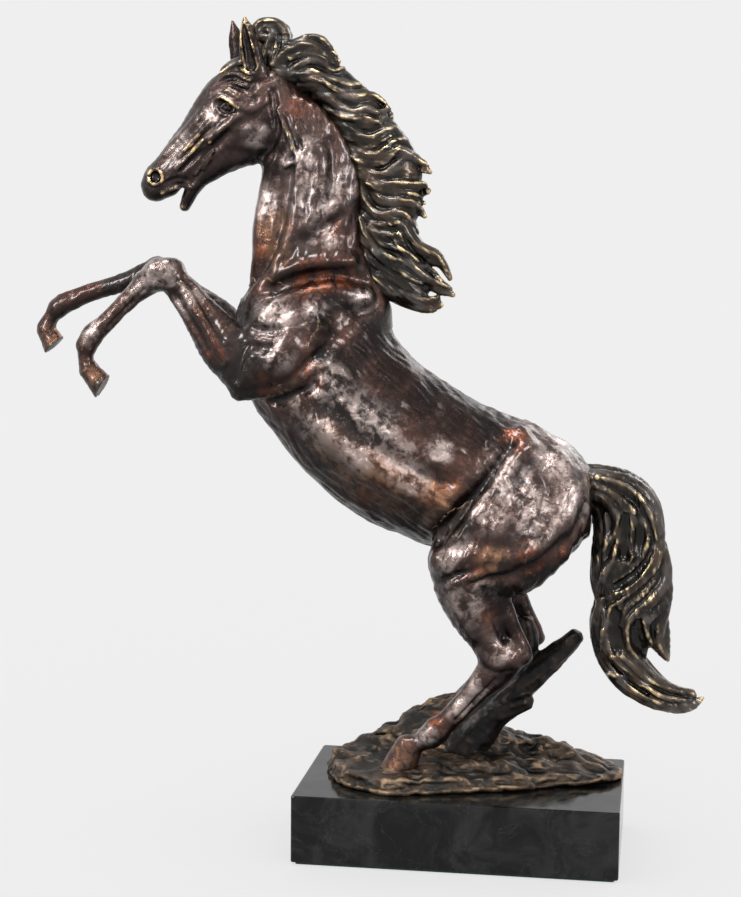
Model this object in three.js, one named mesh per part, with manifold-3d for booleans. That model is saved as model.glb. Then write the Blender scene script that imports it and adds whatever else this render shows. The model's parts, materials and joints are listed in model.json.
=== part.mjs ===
// A rearing horse in cast bronze, on a bronze rock ground bolted to a black marble plinth.
// Millimetres, +Z up. The origin is the centre of the felt's underside; the horse faces -X.
// The bronze is made as a foundry makes it: hollow castings with collars, cut apart at the weld lines.
import * as THREE from "three";
import { mergeVertices } from "three/addons/utils/BufferGeometryUtils.js";
import Module from "manifold-3d";

const wasm = await Module();
wasm.setup();

// ---- driving dimensions ----
const PLINTH = { length: 200, width: 120, height: 42, corner: 1.2, chamfer: 1 };
const FELT = { length: 195, width: 115, height: 1.5, corner: 2, chamfer: 0 };
const PLINTH_TOP = FELT.height + PLINTH.height;
const WALL = 4; // bronze wall of the torso, the neck and the head
const THIGH_WALL = 5;
const COLLAR_WALL = 3;
const GAP = 0.3; // clearance at a weld line
const DOME = { height: 0.6, share: 0.45 }; // a rounded end, as shares of the end section
const FIXINGS = [
  { side: "front_left", x: -52, y: -24 },
  { side: "back_left", x: -52, y: 24 },
  { side: "right", x: 52, y: 0 },
];
const STUD = { radius: 3, top: 9, grip: 6 }; // top is above the plinth, grip is the length past the nut
const STUD_HOLE = { radius: 3.15, depth: 9.5 }; // in the ground's bosses
const THROUGH = 1; // how far a cutting tool runs past a face
const HOLE = { radius: 3.6, recess_radius: 11, recess_depth: 20 };
const WASHER = { inner: 3.3, outer: 9, thickness: 1.6 };
const NUT = { across_flats: 10, bore: 3.2, thickness: 5 };
const BOSS = { radius: 8, height: 40 }; // the rock's skin cuts each boss off

const BRONZE = { color: 0x4a2a1e, roughness: 0.35, metalness: 1 };
const HAIR_BRONZE = { color: 0x3a3024, roughness: 0.4, metalness: 1 };
const ROCK_BRONZE = { color: 0x40352a, roughness: 0.55, metalness: 1 };
const MARBLE = { color: 0x2a2e30, roughness: 0.3, metalness: 0 };
const FELT_CLOTH = { color: 0x1f3d2b, roughness: 0.95, metalness: 0 };
const STEEL = { color: 0xb4b6b8, roughness: 0.35, metalness: 1 };

// ---- solids ----
function solidOf(geometry) {
  const bare = new THREE.BufferGeometry();
  bare.setAttribute("position", geometry.getAttribute("position"));
  if (geometry.index) bare.setIndex(geometry.index);
  const merged = mergeVertices(bare, 1e-3);
  const mesh = new wasm.Mesh({
    numProp: 3,
    vertProperties: merged.attributes.position.array,
    triVerts: new Uint32Array(merged.index.array),
  });
  return new wasm.Manifold(mesh);
}

function geometryOf(solid) {
  const mesh = solid.getMesh();
  const geometry = new THREE.BufferGeometry();
  geometry.setAttribute("position", new THREE.BufferAttribute(mesh.vertProperties, 3));
  geometry.setIndex(new THREE.BufferAttribute(mesh.triVerts, 1));
  geometry.computeVertexNormals();
  return geometry;
}

const union = (solids) => solids.reduce((all, one) => all.add(one));

// A body of elliptical sections along a smooth line, with domed or flat ends.
// A station is [x, y, z, half height in the plane of the bend, half width sideways].
function limb(stations, { sides = 8, steps = 1, grow = 0, dome = DOME.height } = {}) {
  const line = new THREE.CatmullRomCurve3(stations.map(([x, y, z]) => new THREE.Vector3(x, y, z)));
  const sizes = new THREE.CatmullRomCurve3(stations.map((s) => new THREE.Vector3(s[3], s[4], 0)));
  const count = (stations.length - 1) * steps;
  const rings = [];
  const addRing = (t, along, share) => {
    const tangent = line.getTangent(t);
    const side = new THREE.Vector3(0, 1, 0).addScaledVector(tangent, -tangent.y).normalize();
    const up = new THREE.Vector3().crossVectors(tangent, side);
    const centre = line.getPoint(t).addScaledVector(tangent, along);
    const size = sizes.getPoint(t);
    const ring = [];
    for (let i = 0; i < sides; i++) {
      const angle = (2 * Math.PI * i) / sides;
      ring.push(
        centre
          .clone()
          .addScaledVector(side, Math.cos(angle) * (size.y + grow) * share)
          .addScaledVector(up, Math.sin(angle) * (size.x + grow) * share),
      );
    }
    rings.push(ring);
  };
  const reach = (i) => dome * (Math.min(stations[i][3], stations[i][4]) + grow);
  if (dome > 0) addRing(0, -reach(0), DOME.share);
  for (let i = 0; i <= count; i++) addRing(i / count, 0, 1);
  if (dome > 0) addRing(1, reach(stations.length - 1), DOME.share);
  return solidOf(skin(rings));
}

// Closes a stack of rings with flat fans at both ends.
function skin(rings) {
  const sides = rings[0].length;
  const points = rings.flat().concat([centreOf(rings[0]), centreOf(rings[rings.length - 1])]);
  const first = rings.length * sides;
  const faces = [];
  for (let i = 0; i < sides; i++) {
    const next = (i + 1) % sides;
    for (let j = 0; j + 1 < rings.length; j++) {
      const [a, b] = [j * sides + i, j * sides + next];
      faces.push(a, b, b + sides, a, b + sides, a + sides);
    }
    faces.push(first, next, i);
    faces.push(first + 1, (rings.length - 1) * sides + i, (rings.length - 1) * sides + next);
  }
  const geometry = new THREE.BufferGeometry().setFromPoints(points);
  geometry.setIndex(faces);
  return geometry;
}

function centreOf(ring) {
  return ring.reduce((sum, p) => sum.add(p), new THREE.Vector3()).divideScalar(ring.length);
}

function cylinder(radius, low, high, x, y, sides = 24) {
  const geometry = new THREE.CylinderGeometry(radius, radius, high - low, sides);
  geometry.rotateX(Math.PI / 2).translate(x, y, (low + high) / 2);
  return solidOf(geometry);
}

// ---- the horse's sections, above the plinth's top ----
const TORSO = [
  [-112, 0, 294, 38, 24],
  [-101, 0, 274, 50, 33],
  [-86, 0, 248, 50, 38],
  [-67, 0, 226, 50, 41],
  [-45, 0, 210, 50, 42],
  [-21, 0, 198, 49, 42],
  [2, 0, 189, 46, 41],
  [24, 0, 178, 42, 38],
  [46, 0, 168, 31, 30],
];
const NECK = [
  [-92, 0, 288, 42, 28],
  [-97, 0, 308, 40, 26],
  [-101, 0, 326, 36, 24],
  [-103, 0, 343, 33, 22],
  [-101, 0, 361, 31, 20],
  [-102, 0, 380, 29, 18],
  [-109, 0, 398, 26, 17],
  [-122, 0, 412, 22, 15],
];
const HEAD = [
  [-124, 0, 424, 20, 13],
  [-137, 0, 418, 27, 17],
  [-153, 0, 409, 26, 18],
  [-164, 0, 398, 22, 15],
  [-175, 0, 389, 18, 12],
  [-185, 0, 381, 14, 11],
  [-194, 0, 374, 12, 10],
  [-201, 0, 369, 9, 9],
];
const LOWER_JAW = [
  [-150, 0, 388, 9, 9],
  [-168, 0, 376, 8, 8],
  [-177, 0, 366, 6.5, 6.5],
  [-181, 0, 358, 4.5, 5.5],
];
const EARS = [
  [
    [-132, -8, 436, 8, 5],
    [-136, -10, 456, 7, 4.5],
    [-140, -10, 470, 2, 1.5],
  ],
  [
    [-140, 8, 434, 8, 5],
    [-148, 10, 456, 7, 4.5],
    [-152, 10, 470, 2, 1.5],
  ],
];
const LEFT_FORELEG = {
  arm: [
    [-95, -22, 290, 24, 14],
    [-115, -26, 275, 25, 15],
    [-128, -28, 262, 19, 14],
    [-136, -28, 254, 14, 12],
  ],
  forearm: [
    [-136, -28, 254, 14, 12],
    [-148, -28, 272, 17, 13],
    [-160, -27, 286, 13, 11],
    [-170, -27, 299, 11, 9.5],
    [-179, -26, 309, 10, 8.5],
    [-185, -26, 316, 11, 9],
  ],
  cannon: [
    [-184, -26, 316, 11, 9],
    [-196, -26, 311, 9, 7.5],
    [-208, -26, 300, 6.5, 5.5],
    [-219, -26, 290, 6, 5],
    [-228, -26, 281, 6.5, 5.5],
    [-236, -26, 274, 7.5, 6.5],
  ],
  pastern: [
    [-237, -26, 273, 7, 6],
    [-237, -26, 263, 5.2, 5],
    [-235, -26, 256, 6.5, 6],
  ],
  hoof: [
    [-236, -26, 256, 6.5, 6.5],
    [-232, -26, 250, 7.5, 7.5],
    [-226, -26, 246, 7, 8],
  ],
};
const RIGHT_FORELEG = {
  arm: [
    [-95, 22, 290, 24, 14],
    [-118, 26, 278, 24, 15],
    [-132, 27, 268, 18, 14],
    [-142, 26, 262, 13, 12],
  ],
  forearm: [
    [-142, 26, 262, 13, 12],
    [-156, 26, 274, 16, 12.5],
    [-170, 26, 288, 13, 10.5],
    [-183, 25, 300, 10.5, 9],
    [-193, 25, 309, 10, 8.5],
    [-200, 25, 315, 11, 9],
  ],
  cannon: [
    [-199, 25, 315, 11, 9],
    [-213, 25, 313, 9, 7.5],
    [-227, 24, 308, 6.5, 5.5],
    [-242, 24, 303, 6, 5],
    [-256, 24, 298, 6.5, 5.5],
    [-268, 24, 293, 7.5, 6.5],
  ],
  pastern: [
    [-269, 24, 292, 7, 6],
    [-275, 24, 285, 5.3, 5],
    [-278, 24, 278, 6.5, 6],
  ],
  hoof: [
    [-278, 24, 277, 6.5, 6.5],
    [-277, 24, 271, 7.5, 7.5],
    [-273, 24, 267, 7, 8],
  ],
};
const LEFT_HIND_LEG = {
  thigh: [
    [46, -18, 180, 29, 17],
    [31, -24, 163, 36, 22],
    [14, -27, 147, 33, 23],
    [5, -27, 135, 24, 20],
  ],
  gaskin: [
    [4, -27, 138, 24, 19],
    [7, -27, 122, 22, 17],
    [12, -27, 108, 17, 14],
    [19, -27, 96, 13, 11],
    [25, -27, 84, 15, 10],
  ],
  tendon: [
    [28, -27, 110, 7, 5],
    [34, -27, 97, 6, 5],
    [40, -27, 86, 6, 6],
  ],
  cannon: [
    [24, -27, 80, 12, 9],
    [12, -27, 64, 8.5, 7],
    [0, -27, 51, 7, 6],
    [-9, -27, 42, 7.5, 6.5],
    [-15, -27, 36, 8.5, 7.5],
  ],
  pastern: [
    [-15, -27, 36, 8, 7],
    [-25, -28, 29, 6, 6],
    [-32, -28, 25, 7, 7],
  ],
  hoof: [
    [-32, -28, 26, 8, 8.5],
    [-36, -28, 19, 10, 10],
    [-39, -28, 12, 12, 11],
  ],
};
// The right hind leg stands like the left one, a little further back.
const HIND_STAGGER = 4;
const RIGHT_HIND_LEG = Object.fromEntries(
  Object.entries(LEFT_HIND_LEG).map(([part, stations]) => [
    part,
    stations.map(([x, y, z, high, wide]) => [x + HIND_STAGGER, -y, z, high, wide]),
  ]),
);
const TAIL = [
  [66, 0, 190, 11, 8],
  [86, 0, 188, 14, 12],
  [102, 0, 176, 19, 15],
  [105, 0, 156, 22, 17],
  [103, 0, 134, 24, 18],
  [104, 0, 112, 25, 17],
  [101, 0, 92, 21, 15],
  [105, 0, 74, 15, 12],
  [118, 0, 60, 11, 9],
  [134, 0, 53, 8, 6],
  [147, 0, 56, 3, 3],
];
const TAIL_SIDE_LOCK = [
  [110, 4, 122, 15, 10],
  [119, 5, 102, 9, 8],
  [126, 5, 80, 2, 2.5],
];
const MANE_ROOT = [
  [-130, 2, 445, 10, 10],
  [-108, 3, 440, 15, 12],
  [-85, 4, 425, 18, 14],
  [-66, 5, 402, 20, 15],
  [-56, 6, 380, 19, 15],
  [-52, 6, 356, 18, 15],
  [-46, 6, 332, 17, 13],
  [-36, 5, 313, 10, 9],
];
// Each lock runs from the crest of the neck to its tip.
const MANE_LOCKS = [
  [[-136, 0, 450, 9, 8], [-128, 0, 465, 9, 8], [-117, 0, 465, 6, 6]],
  [[-118, 3, 440, 14, 10], [-104, 4, 450, 12, 9], [-91, 4, 448, 6, 6]],
  [[-100, 4, 436, 14, 12], [-80, 6, 431, 12, 10], [-64, 6, 420, 6, 6]],
  [[-84, 6, 418, 16, 13], [-64, 8, 410, 13, 10], [-50, 8, 399, 7, 6]],
  [[-70, 7, 398, 16, 13], [-50, 9, 388, 13, 10], [-34, 9, 376, 8, 7]],
  [[-62, 7, 374, 16, 13], [-47, 9, 366, 14, 10], [-35, 9, 358, 7, 6]],
  [[-60, 7, 352, 14, 12], [-44, 8, 340, 13, 10], [-30, 8, 328, 8, 7]],
  [[-56, 6, 330, 14, 11], [-38, 7, 318, 12, 9], [-18, 7, 308, 5, 5]],
];
const STUMP = {
  trunk: [
    [-2, 6, 14, 16, 14],
    [13, 8, 36, 12, 11],
    [30, 10, 55, 10, 9],
    [48, 12, 73, 8, 8],
    [62, 13, 87, 6, 6],
    [69, 13, 94, 4.5, 4.5],
  ],
  knob: [
    [20, 6, 42, 9, 8],
    [36, 4, 51, 6.5, 6.5],
  ],
  prop: [
    [32, 10, 58, 9, 8],
    [36, 13, 78, 8, 8],
    [34, 14, 98, 6, 6],
  ],
};
// Steel pins that carry the horse's weight from its hind pasterns into the ground.
const HOOF_PINS = {
  left: { low: [-43, -27.5, 4], high: [-19, -27.5, 35], radius: 1.6 },
  right: { low: [-43 + HIND_STAGGER, 27.5, 4], high: [-19 + HIND_STAGGER, 27.5, 35], radius: 1.6 },
};
const GROUND = { x: 4, y: 4, wall: 3.5, rings: 7, sides: 30 };
// How the rock rounds down at its edge, how low it may be, and how far a spot's height spreads.
const ROCK_FALL = { rise: 1.06, power: 6, round: 0.4, least: 1.5, blur: 40 };
// The rock's edge on the plinth, from its left end round the front.
const ROCK_EDGE = [
  [-88, 10], [-84, -7], [-76, -26], [-62, -42], [-40, -50], [-20, -44], [8, -35], [32, -26],
  [58, -13], [84, -2], [98, 14], [92, 36], [66, 47], [24, 50], [-24, 50], [-62, 42], [-82, 28],
];
// Spots on the rock (x, y, height). The mound behind the left hind leg buries the right hoof.
const ROCK_SPOTS = [
  [-80, -10, 9], [-68, -28, 10], [-50, -42, 10], [-25, -40, 11], [0, -32, 9], [25, -26, 8], [45, -14, 7],
  [65, -7, 6], [85, 3, 5], [95, 18, 3], [-76, 4, 13], [-58, -12, 13], [-38, -28, 12], [-20, -22, 15],
  [0, -14, 16], [22, -6, 14], [42, 4, 12], [62, 8, 10], [80, 18, 7], [-78, 18, 11], [-64, 20, 19],
  [-50, 22, 26], [-34, 22, 36], [-19, 20, 44], [-6, 18, 48], [8, 14, 38], [18, 14, 28], [30, 20, 24],
  [46, 22, 21], [60, 22, 17], [76, 24, 10], [-70, 34, 9], [-45, 40, 14], [-20, 42, 20], [5, 42, 18],
  [35, 42, 13], [62, 38, 9], [85, 32, 4],
];

// Collars: the short tubes that locate one hollow casting in the next.
const COLLARS = {
  neck: [[-92, 0, 284, 22, 15], [-100, 0, 328, 22, 15]],
  left_shoulder: [[-101, -20, 270, 9, 9], [-103, -34, 268, 9, 9]],
  right_shoulder: [[-101, 20, 270, 9, 9], [-103, 34, 268, 9, 9]],
  left_hip: [[18, -22, 172, 10, 10], [12, -26, 136, 10, 10]],
  right_hip: [[18, 22, 172, 10, 10], [12, 26, 136, 10, 10]],
  tail: [[48, 0, 180, 6, 5], [72, 0, 190, 6, 5]],
};

const collar = (name, grow = 0) => limb(COLLARS[name], { grow, dome: 0, sides: 10 });
const legSolid = (leg, grow = 0) =>
  union(Object.entries(leg).map(([part, s]) => limb(s, { grow, dome: part === "hoof" ? 0 : DOME.height })));

function hoofPin(side, grow = 0) {
  const { low, high, radius } = HOOF_PINS[side];
  const end = [radius + grow, radius + grow];
  return limb([[...low, ...end], [...high, ...end]], { dome: 0, sides: 12 });
}

const pinHoles = () => union(Object.keys(HOOF_PINS).map((side) => hoofPin(side, GAP)));

// ---- castings ----
const torsoOuter = (grow = 0) => limb(TORSO, { sides: 18, grow });

function torsoCasting() {
  const openings = union(Object.keys(COLLARS).map((name) => collar(name, GAP)));
  return torsoOuter().subtract(torsoOuter(-WALL)).subtract(openings);
}

function neckHeadOuter(grow = 0) {
  const ears = EARS.map((ear) => limb(ear, { grow, sides: 6 }));
  const skull = [limb(NECK, { sides: 14, grow }), limb(HEAD, { sides: 12, grow })];
  return union([...skull, limb(LOWER_JAW, { grow }), ...ears]);
}

// The neck and head are one hollow casting, open only through the collar that locates it.
function neckHeadCasting() {
  const cavity = limb(NECK, { grow: -WALL }).add(limb(HEAD.slice(0, 5), { grow: -WALL }));
  return neckHeadOuter()
    .subtract(torsoOuter(GAP))
    .subtract(cavity.subtract(torsoOuter(GAP + WALL)))
    .add(collar("neck"))
    .subtract(collar("neck", -COLLAR_WALL));
}

function foreleg(leg, shoulder, grow = 0) {
  return legSolid(leg, grow).subtract(torsoOuter(GAP)).subtract(neckHeadOuter(GAP)).add(collar(shoulder));
}

// The thigh is hollow down to the stifle and opens into the torso through its collar.
function hindLeg(leg, hip) {
  const bore = collar(hip, -COLLAR_WALL);
  const inside = limb(leg.thigh, { grow: -THIGH_WALL }).subtract(torsoOuter(WALL));
  return legSolid(leg)
    .subtract(torsoOuter(GAP))
    .add(collar(hip))
    .subtract(inside)
    .subtract(bore)
    .subtract(collar("tail", GAP))
    .subtract(pinHoles());
}

function maneCasting() {
  const locks = MANE_LOCKS.map((lock) => limb(lock, { sides: 7, steps: 2 }));
  return union([limb(MANE_ROOT, { sides: 10 }), ...locks])
    .subtract(neckHeadOuter(GAP))
    .subtract(torsoOuter(GAP));
}

function tailCasting() {
  const hair = limb(TAIL, { sides: 12 }).add(limb(TAIL_SIDE_LOCK));
  const legs = legSolid(LEFT_HIND_LEG, GAP).add(legSolid(RIGHT_HIND_LEG, GAP));
  return hair.subtract(torsoOuter(GAP)).subtract(legs).add(collar("tail"));
}

// ---- the ground ----
// How high the rock stands at a point, from the spots near it, before its edge rounds down.
function rockHeight(x, y) {
  let [sum, total] = [0, 0];
  for (const [spotX, spotY, height] of ROCK_SPOTS) {
    const weight = 1 / (Math.hypot(x - spotX, y - spotY) ** 4 + ROCK_FALL.blur);
    sum += weight * height;
    total += weight;
  }
  return sum / total;
}

const rockEdge = new THREE.CatmullRomCurve3(ROCK_EDGE.map(([x, y]) => new THREE.Vector3(x, y, 0)), true);

// The share of its full height that the rock keeps, from its middle (0) to its edge (1).
const rockRounding = (share) => (ROCK_FALL.rise - share ** ROCK_FALL.power) ** ROCK_FALL.round;

// The rock's outside, or with an inset the hollow under it, which runs out through its base.
function rock(inset = 0) {
  const centre = new THREE.Vector3(GROUND.x, GROUND.y, 0);
  const edge = rockEdge.getPoints(GROUND.sides).slice(0, -1);
  const ringAt = (share, z) =>
    edge.map((point) => {
      const out = point.clone().sub(centre);
      const spot = out.multiplyScalar(share * (1 - inset / out.length())).add(centre);
      const top = rockHeight(spot.x, spot.y) * rockRounding(share) - inset;
      spot.z = z ?? Math.max(ROCK_FALL.least, top);
      return spot;
    });
  const rings = [ringAt(1, inset > 0 ? -THROUGH : 0)];
  for (let i = GROUND.rings; i > 0; i--) rings.push(ringAt((i / GROUND.rings) ** 0.8));
  return solidOf(skin(rings));
}

// The recess that a leg or the stump is let into.
const bedding = () => legSolid(LEFT_HIND_LEG, GAP).add(legSolid(RIGHT_HIND_LEG, GAP));

function stumpCasting() {
  const wood = union(Object.values(STUMP).map((part) => limb(part)));
  return wood.subtract(bedding()).subtract(rock(-GAP)).subtract(torsoOuter(GAP));
}

function groundCasting() {
  const atFixings = (radius, low, high) =>
    union(FIXINGS.map(({ x, y }) => cylinder(radius, low, high, x, y, 16)));
  const bosses = atFixings(BOSS.radius, 0, BOSS.height);
  const holes = atFixings(STUD_HOLE.radius, -THROUGH, STUD_HOLE.depth);
  const outer = rock();
  return outer
    .subtract(rock(GROUND.wall))
    .add(outer.intersect(bosses))
    .subtract(holes)
    .subtract(bedding())
    .subtract(pinHoles());
}

// ---- the plinth and its fixings ----
function slab({ length, width, height, corner, chamfer }) {
  const [x, y] = [length / 2 - chamfer, width / 2 - chamfer];
  const shape = new THREE.Shape();
  shape.moveTo(-x + corner, -y);
  shape.lineTo(x - corner, -y).quadraticCurveTo(x, -y, x, -y + corner);
  shape.lineTo(x, y - corner).quadraticCurveTo(x, y, x - corner, y);
  shape.lineTo(-x + corner, y).quadraticCurveTo(-x, y, -x, y - corner);
  shape.lineTo(-x, -y + corner).quadraticCurveTo(-x, -y, -x + corner, -y);
  const geometry = new THREE.ExtrudeGeometry(shape, {
    depth: height - 2 * chamfer,
    curveSegments: 3,
    bevelEnabled: chamfer > 0,
    bevelThickness: chamfer,
    bevelSize: chamfer,
    bevelSegments: 2,
  });
  return solidOf(geometry.translate(0, 0, chamfer));
}

function plinth() {
  let block = slab(PLINTH);
  for (const { x, y } of FIXINGS) {
    block = block.subtract(cylinder(HOLE.radius, -THROUGH, PLINTH.height + THROUGH, x, y));
    block = block.subtract(cylinder(HOLE.recess_radius, -THROUGH, HOLE.recess_depth, x, y));
  }
  return block;
}

function nut(x, y, top) {
  const hexagon = cylinder(NUT.across_flats / Math.sqrt(3), top - NUT.thickness, top, x, y, 6);
  return hexagon.subtract(cylinder(NUT.bore, top - NUT.thickness - THROUGH, top + THROUGH, x, y, 16));
}

function washer(x, y, top) {
  const disc = cylinder(WASHER.outer, top - WASHER.thickness, top, x, y);
  return disc.subtract(cylinder(WASHER.inner, top - WASHER.thickness - THROUGH, top + THROUGH, x, y, 16));
}

// ---- the scene graph ----
const statue = new THREE.Group();
const horse = new THREE.Group();
const base = new THREE.Group();
horse.position.z = PLINTH_TOP;
base.position.z = FELT.height;
statue.add(horse, base);

function place(parent, name, solid, finish) {
  const mesh = new THREE.Mesh(geometryOf(solid), new THREE.MeshStandardMaterial(finish));
  mesh.name = name;
  parent.add(mesh);
}

place(horse, "torso_casting", torsoCasting(), BRONZE);
place(horse, "neck_head_casting", neckHeadCasting(), BRONZE);
place(horse, "left_foreleg_casting", foreleg(LEFT_FORELEG, "left_shoulder"), BRONZE);
place(horse, "right_foreleg_casting", foreleg(RIGHT_FORELEG, "right_shoulder"), BRONZE);
place(horse, "left_hind_leg_casting", hindLeg(LEFT_HIND_LEG, "left_hip"), BRONZE);
place(horse, "right_hind_leg_casting", hindLeg(RIGHT_HIND_LEG, "right_hip"), BRONZE);
place(horse, "mane_casting", maneCasting(), HAIR_BRONZE);
place(horse, "tail_casting", tailCasting(), HAIR_BRONZE);
place(horse, "stump_casting", stumpCasting(), ROCK_BRONZE);
place(horse, "ground_casting", groundCasting(), ROCK_BRONZE);
for (const side of Object.keys(HOOF_PINS)) place(horse, `${side}_hoof_pin`, hoofPin(side), STEEL);

place(base, "marble_plinth", plinth(), MARBLE);
const nutTop = HOLE.recess_depth - WASHER.thickness;
const studLow = nutTop - NUT.thickness - STUD.grip;
for (const { side, x, y } of FIXINGS) {
  place(base, `${side}_stud`, cylinder(STUD.radius, studLow, PLINTH.height + STUD.top, x, y, 16), STEEL);
  place(base, `${side}_washer`, washer(x, y, HOLE.recess_depth), STEEL);
  place(base, `${side}_nut`, nut(x, y, nutTop), STEEL);
}

place(statue, "felt_pad", slab(FELT), FELT_CLOTH);

export default statue;
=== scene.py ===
"""Looks of the rearing bronze horse: each casting is modelled as clay, then skinned, chased and patinated.

Clay is a grid of distances to the surface. Sizes here are millimetres and heights are above the plinth's
top; meshes are handed to Blender in metres, in the frame's own coordinates.
"""

import copy
import itertools
import json
import math

import bpy
import numpy as np
import openvdb
from mathutils import Matrix, Vector

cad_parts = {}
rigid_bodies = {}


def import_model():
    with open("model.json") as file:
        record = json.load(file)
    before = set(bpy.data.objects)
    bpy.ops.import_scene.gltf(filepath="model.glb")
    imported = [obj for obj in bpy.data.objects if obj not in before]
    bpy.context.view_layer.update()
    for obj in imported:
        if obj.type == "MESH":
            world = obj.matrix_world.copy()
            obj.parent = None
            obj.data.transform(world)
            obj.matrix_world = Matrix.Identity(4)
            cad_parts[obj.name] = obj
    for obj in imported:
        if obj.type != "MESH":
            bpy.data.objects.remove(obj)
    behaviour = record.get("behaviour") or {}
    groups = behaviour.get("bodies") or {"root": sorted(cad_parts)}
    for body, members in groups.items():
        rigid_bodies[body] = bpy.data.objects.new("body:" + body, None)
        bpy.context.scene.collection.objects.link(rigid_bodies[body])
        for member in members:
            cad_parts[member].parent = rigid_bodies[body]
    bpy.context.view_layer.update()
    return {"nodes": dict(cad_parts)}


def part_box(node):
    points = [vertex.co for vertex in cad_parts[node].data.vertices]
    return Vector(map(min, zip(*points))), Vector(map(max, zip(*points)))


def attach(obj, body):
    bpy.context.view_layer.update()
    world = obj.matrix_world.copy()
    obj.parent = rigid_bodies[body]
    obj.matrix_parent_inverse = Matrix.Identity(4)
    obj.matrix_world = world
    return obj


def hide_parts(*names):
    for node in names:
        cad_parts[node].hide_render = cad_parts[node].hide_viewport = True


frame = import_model()

MM = 0.001
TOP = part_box("marble_plinth")[1].z / MM  # the plinth's top, above the ground
FAR = 60.0  # a distance that nothing is blended across
LEFT, RIGHT = -1, 1  # the horse's left is -Y
BOTH = (LEFT, RIGHT)
BACKDROP = 0.863  # the brightness of the studio's walls
SEAM_LAP = 1.2  # how far a casting runs under its neighbour at a chased weld
SKIN_CELL, HAIR_CELL, ROCK_CELL, STUMP_CELL = 2.0, 0.7, 0.9, 0.8  # the cells of their grids


def casting_box(node):
    """The lowest and highest corner of a CAD node in this file's millimetres."""
    return [np.array(corner) / MM - (0, 0, TOP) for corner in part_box(node)]


# ---- clay ----
def smooth_rows(rows, steps):
    """Points on a smooth curve through the rows (Catmull-Rom), `steps` to each stretch."""
    rows = np.array(rows, float)
    if len(rows) < 3:
        t = np.linspace(0, 1, steps + 1)[:, None]
        return rows[0] * (1 - t) + rows[-1] * t
    padded = np.vstack([2 * rows[0] - rows[1], rows, 2 * rows[-1] - rows[-2]])
    out = []
    for i in range(1, len(padded) - 2):
        a, b, c, d = padded[i - 1 : i + 3]
        for t in np.arange(steps) / steps:
            out.append(0.5 * (2 * b + (c - a) * t + (2 * a - 5 * b + 4 * c - d) * t**2
                              + (3 * b - a - 3 * c + d) * t**3))
    out.append(rows[-1])
    return np.array(out)


def melt(a, b, reach):
    """The nearer of two distances, with the join filled over `reach`."""
    if reach <= 0:
        return np.minimum(a, b)
    overlap = np.maximum(reach - np.abs(a - b), 0) / reach
    return np.minimum(a, b) - overlap * overlap * reach / 4


class Clay:
    """A block of clay between two corners, empty at first."""

    def __init__(self, low, high, cell):
        self.low = np.array(low, float)
        self.cell = cell
        self.shape = tuple(int(math.ceil((h - l) / cell)) + 1 for l, h in zip(low, high))
        self.d = np.full(self.shape, FAR, np.float32)

    def window(self, low, high):
        """The slices of the grid between two corners, and its coordinates there."""
        first = np.clip(np.floor((np.array(low) - self.low) / self.cell).astype(int), 0, self.shape)
        last = np.clip(np.ceil((np.array(high) - self.low) / self.cell).astype(int) + 1, 0, self.shape)
        cut = tuple(slice(a, b) for a, b in zip(first, last))
        axes = [self.low[i] + self.cell * np.arange(first[i], last[i]) for i in range(3)]
        if any(len(axis) == 0 for axis in axes):
            return None, None
        x, y, z = (axis.astype(np.float32) for axis in axes)
        return cut, (x[:, None, None], y[None, :, None], z[None, None, :])

    def limb(self, stations, reach, steps=3):
        """Distance to a body of elliptical sections (x, y, z, height, width) along a smooth line."""
        rows = smooth_rows(stations, steps)
        pads = np.maximum(rows[:-1, 3:5].max(1), rows[1:, 3:5].max(1))[:, None] + reach + 2 * self.cell
        lows = np.minimum(rows[:-1, :3], rows[1:, :3]) - pads
        highs = np.maximum(rows[:-1, :3], rows[1:, :3]) + pads
        cut, _ = self.window(lows.min(0), highs.max(0))
        if cut is None:
            return None, None
        local = np.full(self.d[cut].shape, FAR, np.float32)
        for a, b, low, high in zip(rows[:-1], rows[1:], lows, highs):
            part, axes = self.window(low, high)
            if part is None:
                continue
            inner = tuple(slice(p.start - c.start, p.stop - c.start) for p, c in zip(part, cut))
            local[inner] = np.minimum(local[inner], stretch(*axes, a, b))
        return cut, local

    def face(self, x, z, side):
        """How far the clay stands out from the middle plane at (x, z) on one side, if it does."""
        i, k = (int(round((v - self.low[n]) / self.cell)) for n, v in ((0, x), (2, z)))
        if not (0 <= i < self.shape[0] and 0 <= k < self.shape[2]):
            return None
        column = self.d[i, :, k] if side == LEFT else self.d[i, ::-1, k]
        inside = np.nonzero(column < 0)[0]
        if len(inside) == 0 or inside[0] == 0:
            return None
        j = inside[0]
        part = column[j - 1] / (column[j - 1] - column[j])
        edge = side * (self.low[1] + (0 if side == LEFT else (self.shape[1] - 1) * self.cell))
        return edge - (j - 1 + part) * self.cell

    def add(self, stations, reach=3.0, steps=3):
        cut, local = self.limb(stations, reach, steps)
        if cut is not None:
            self.d[cut] = melt(self.d[cut], local, reach)

    def carve(self, stations, reach=1.5, steps=3):
        cut, local = self.limb(stations, reach, steps)
        if cut is not None:
            self.d[cut] = -melt(-self.d[cut], local, reach)


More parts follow.
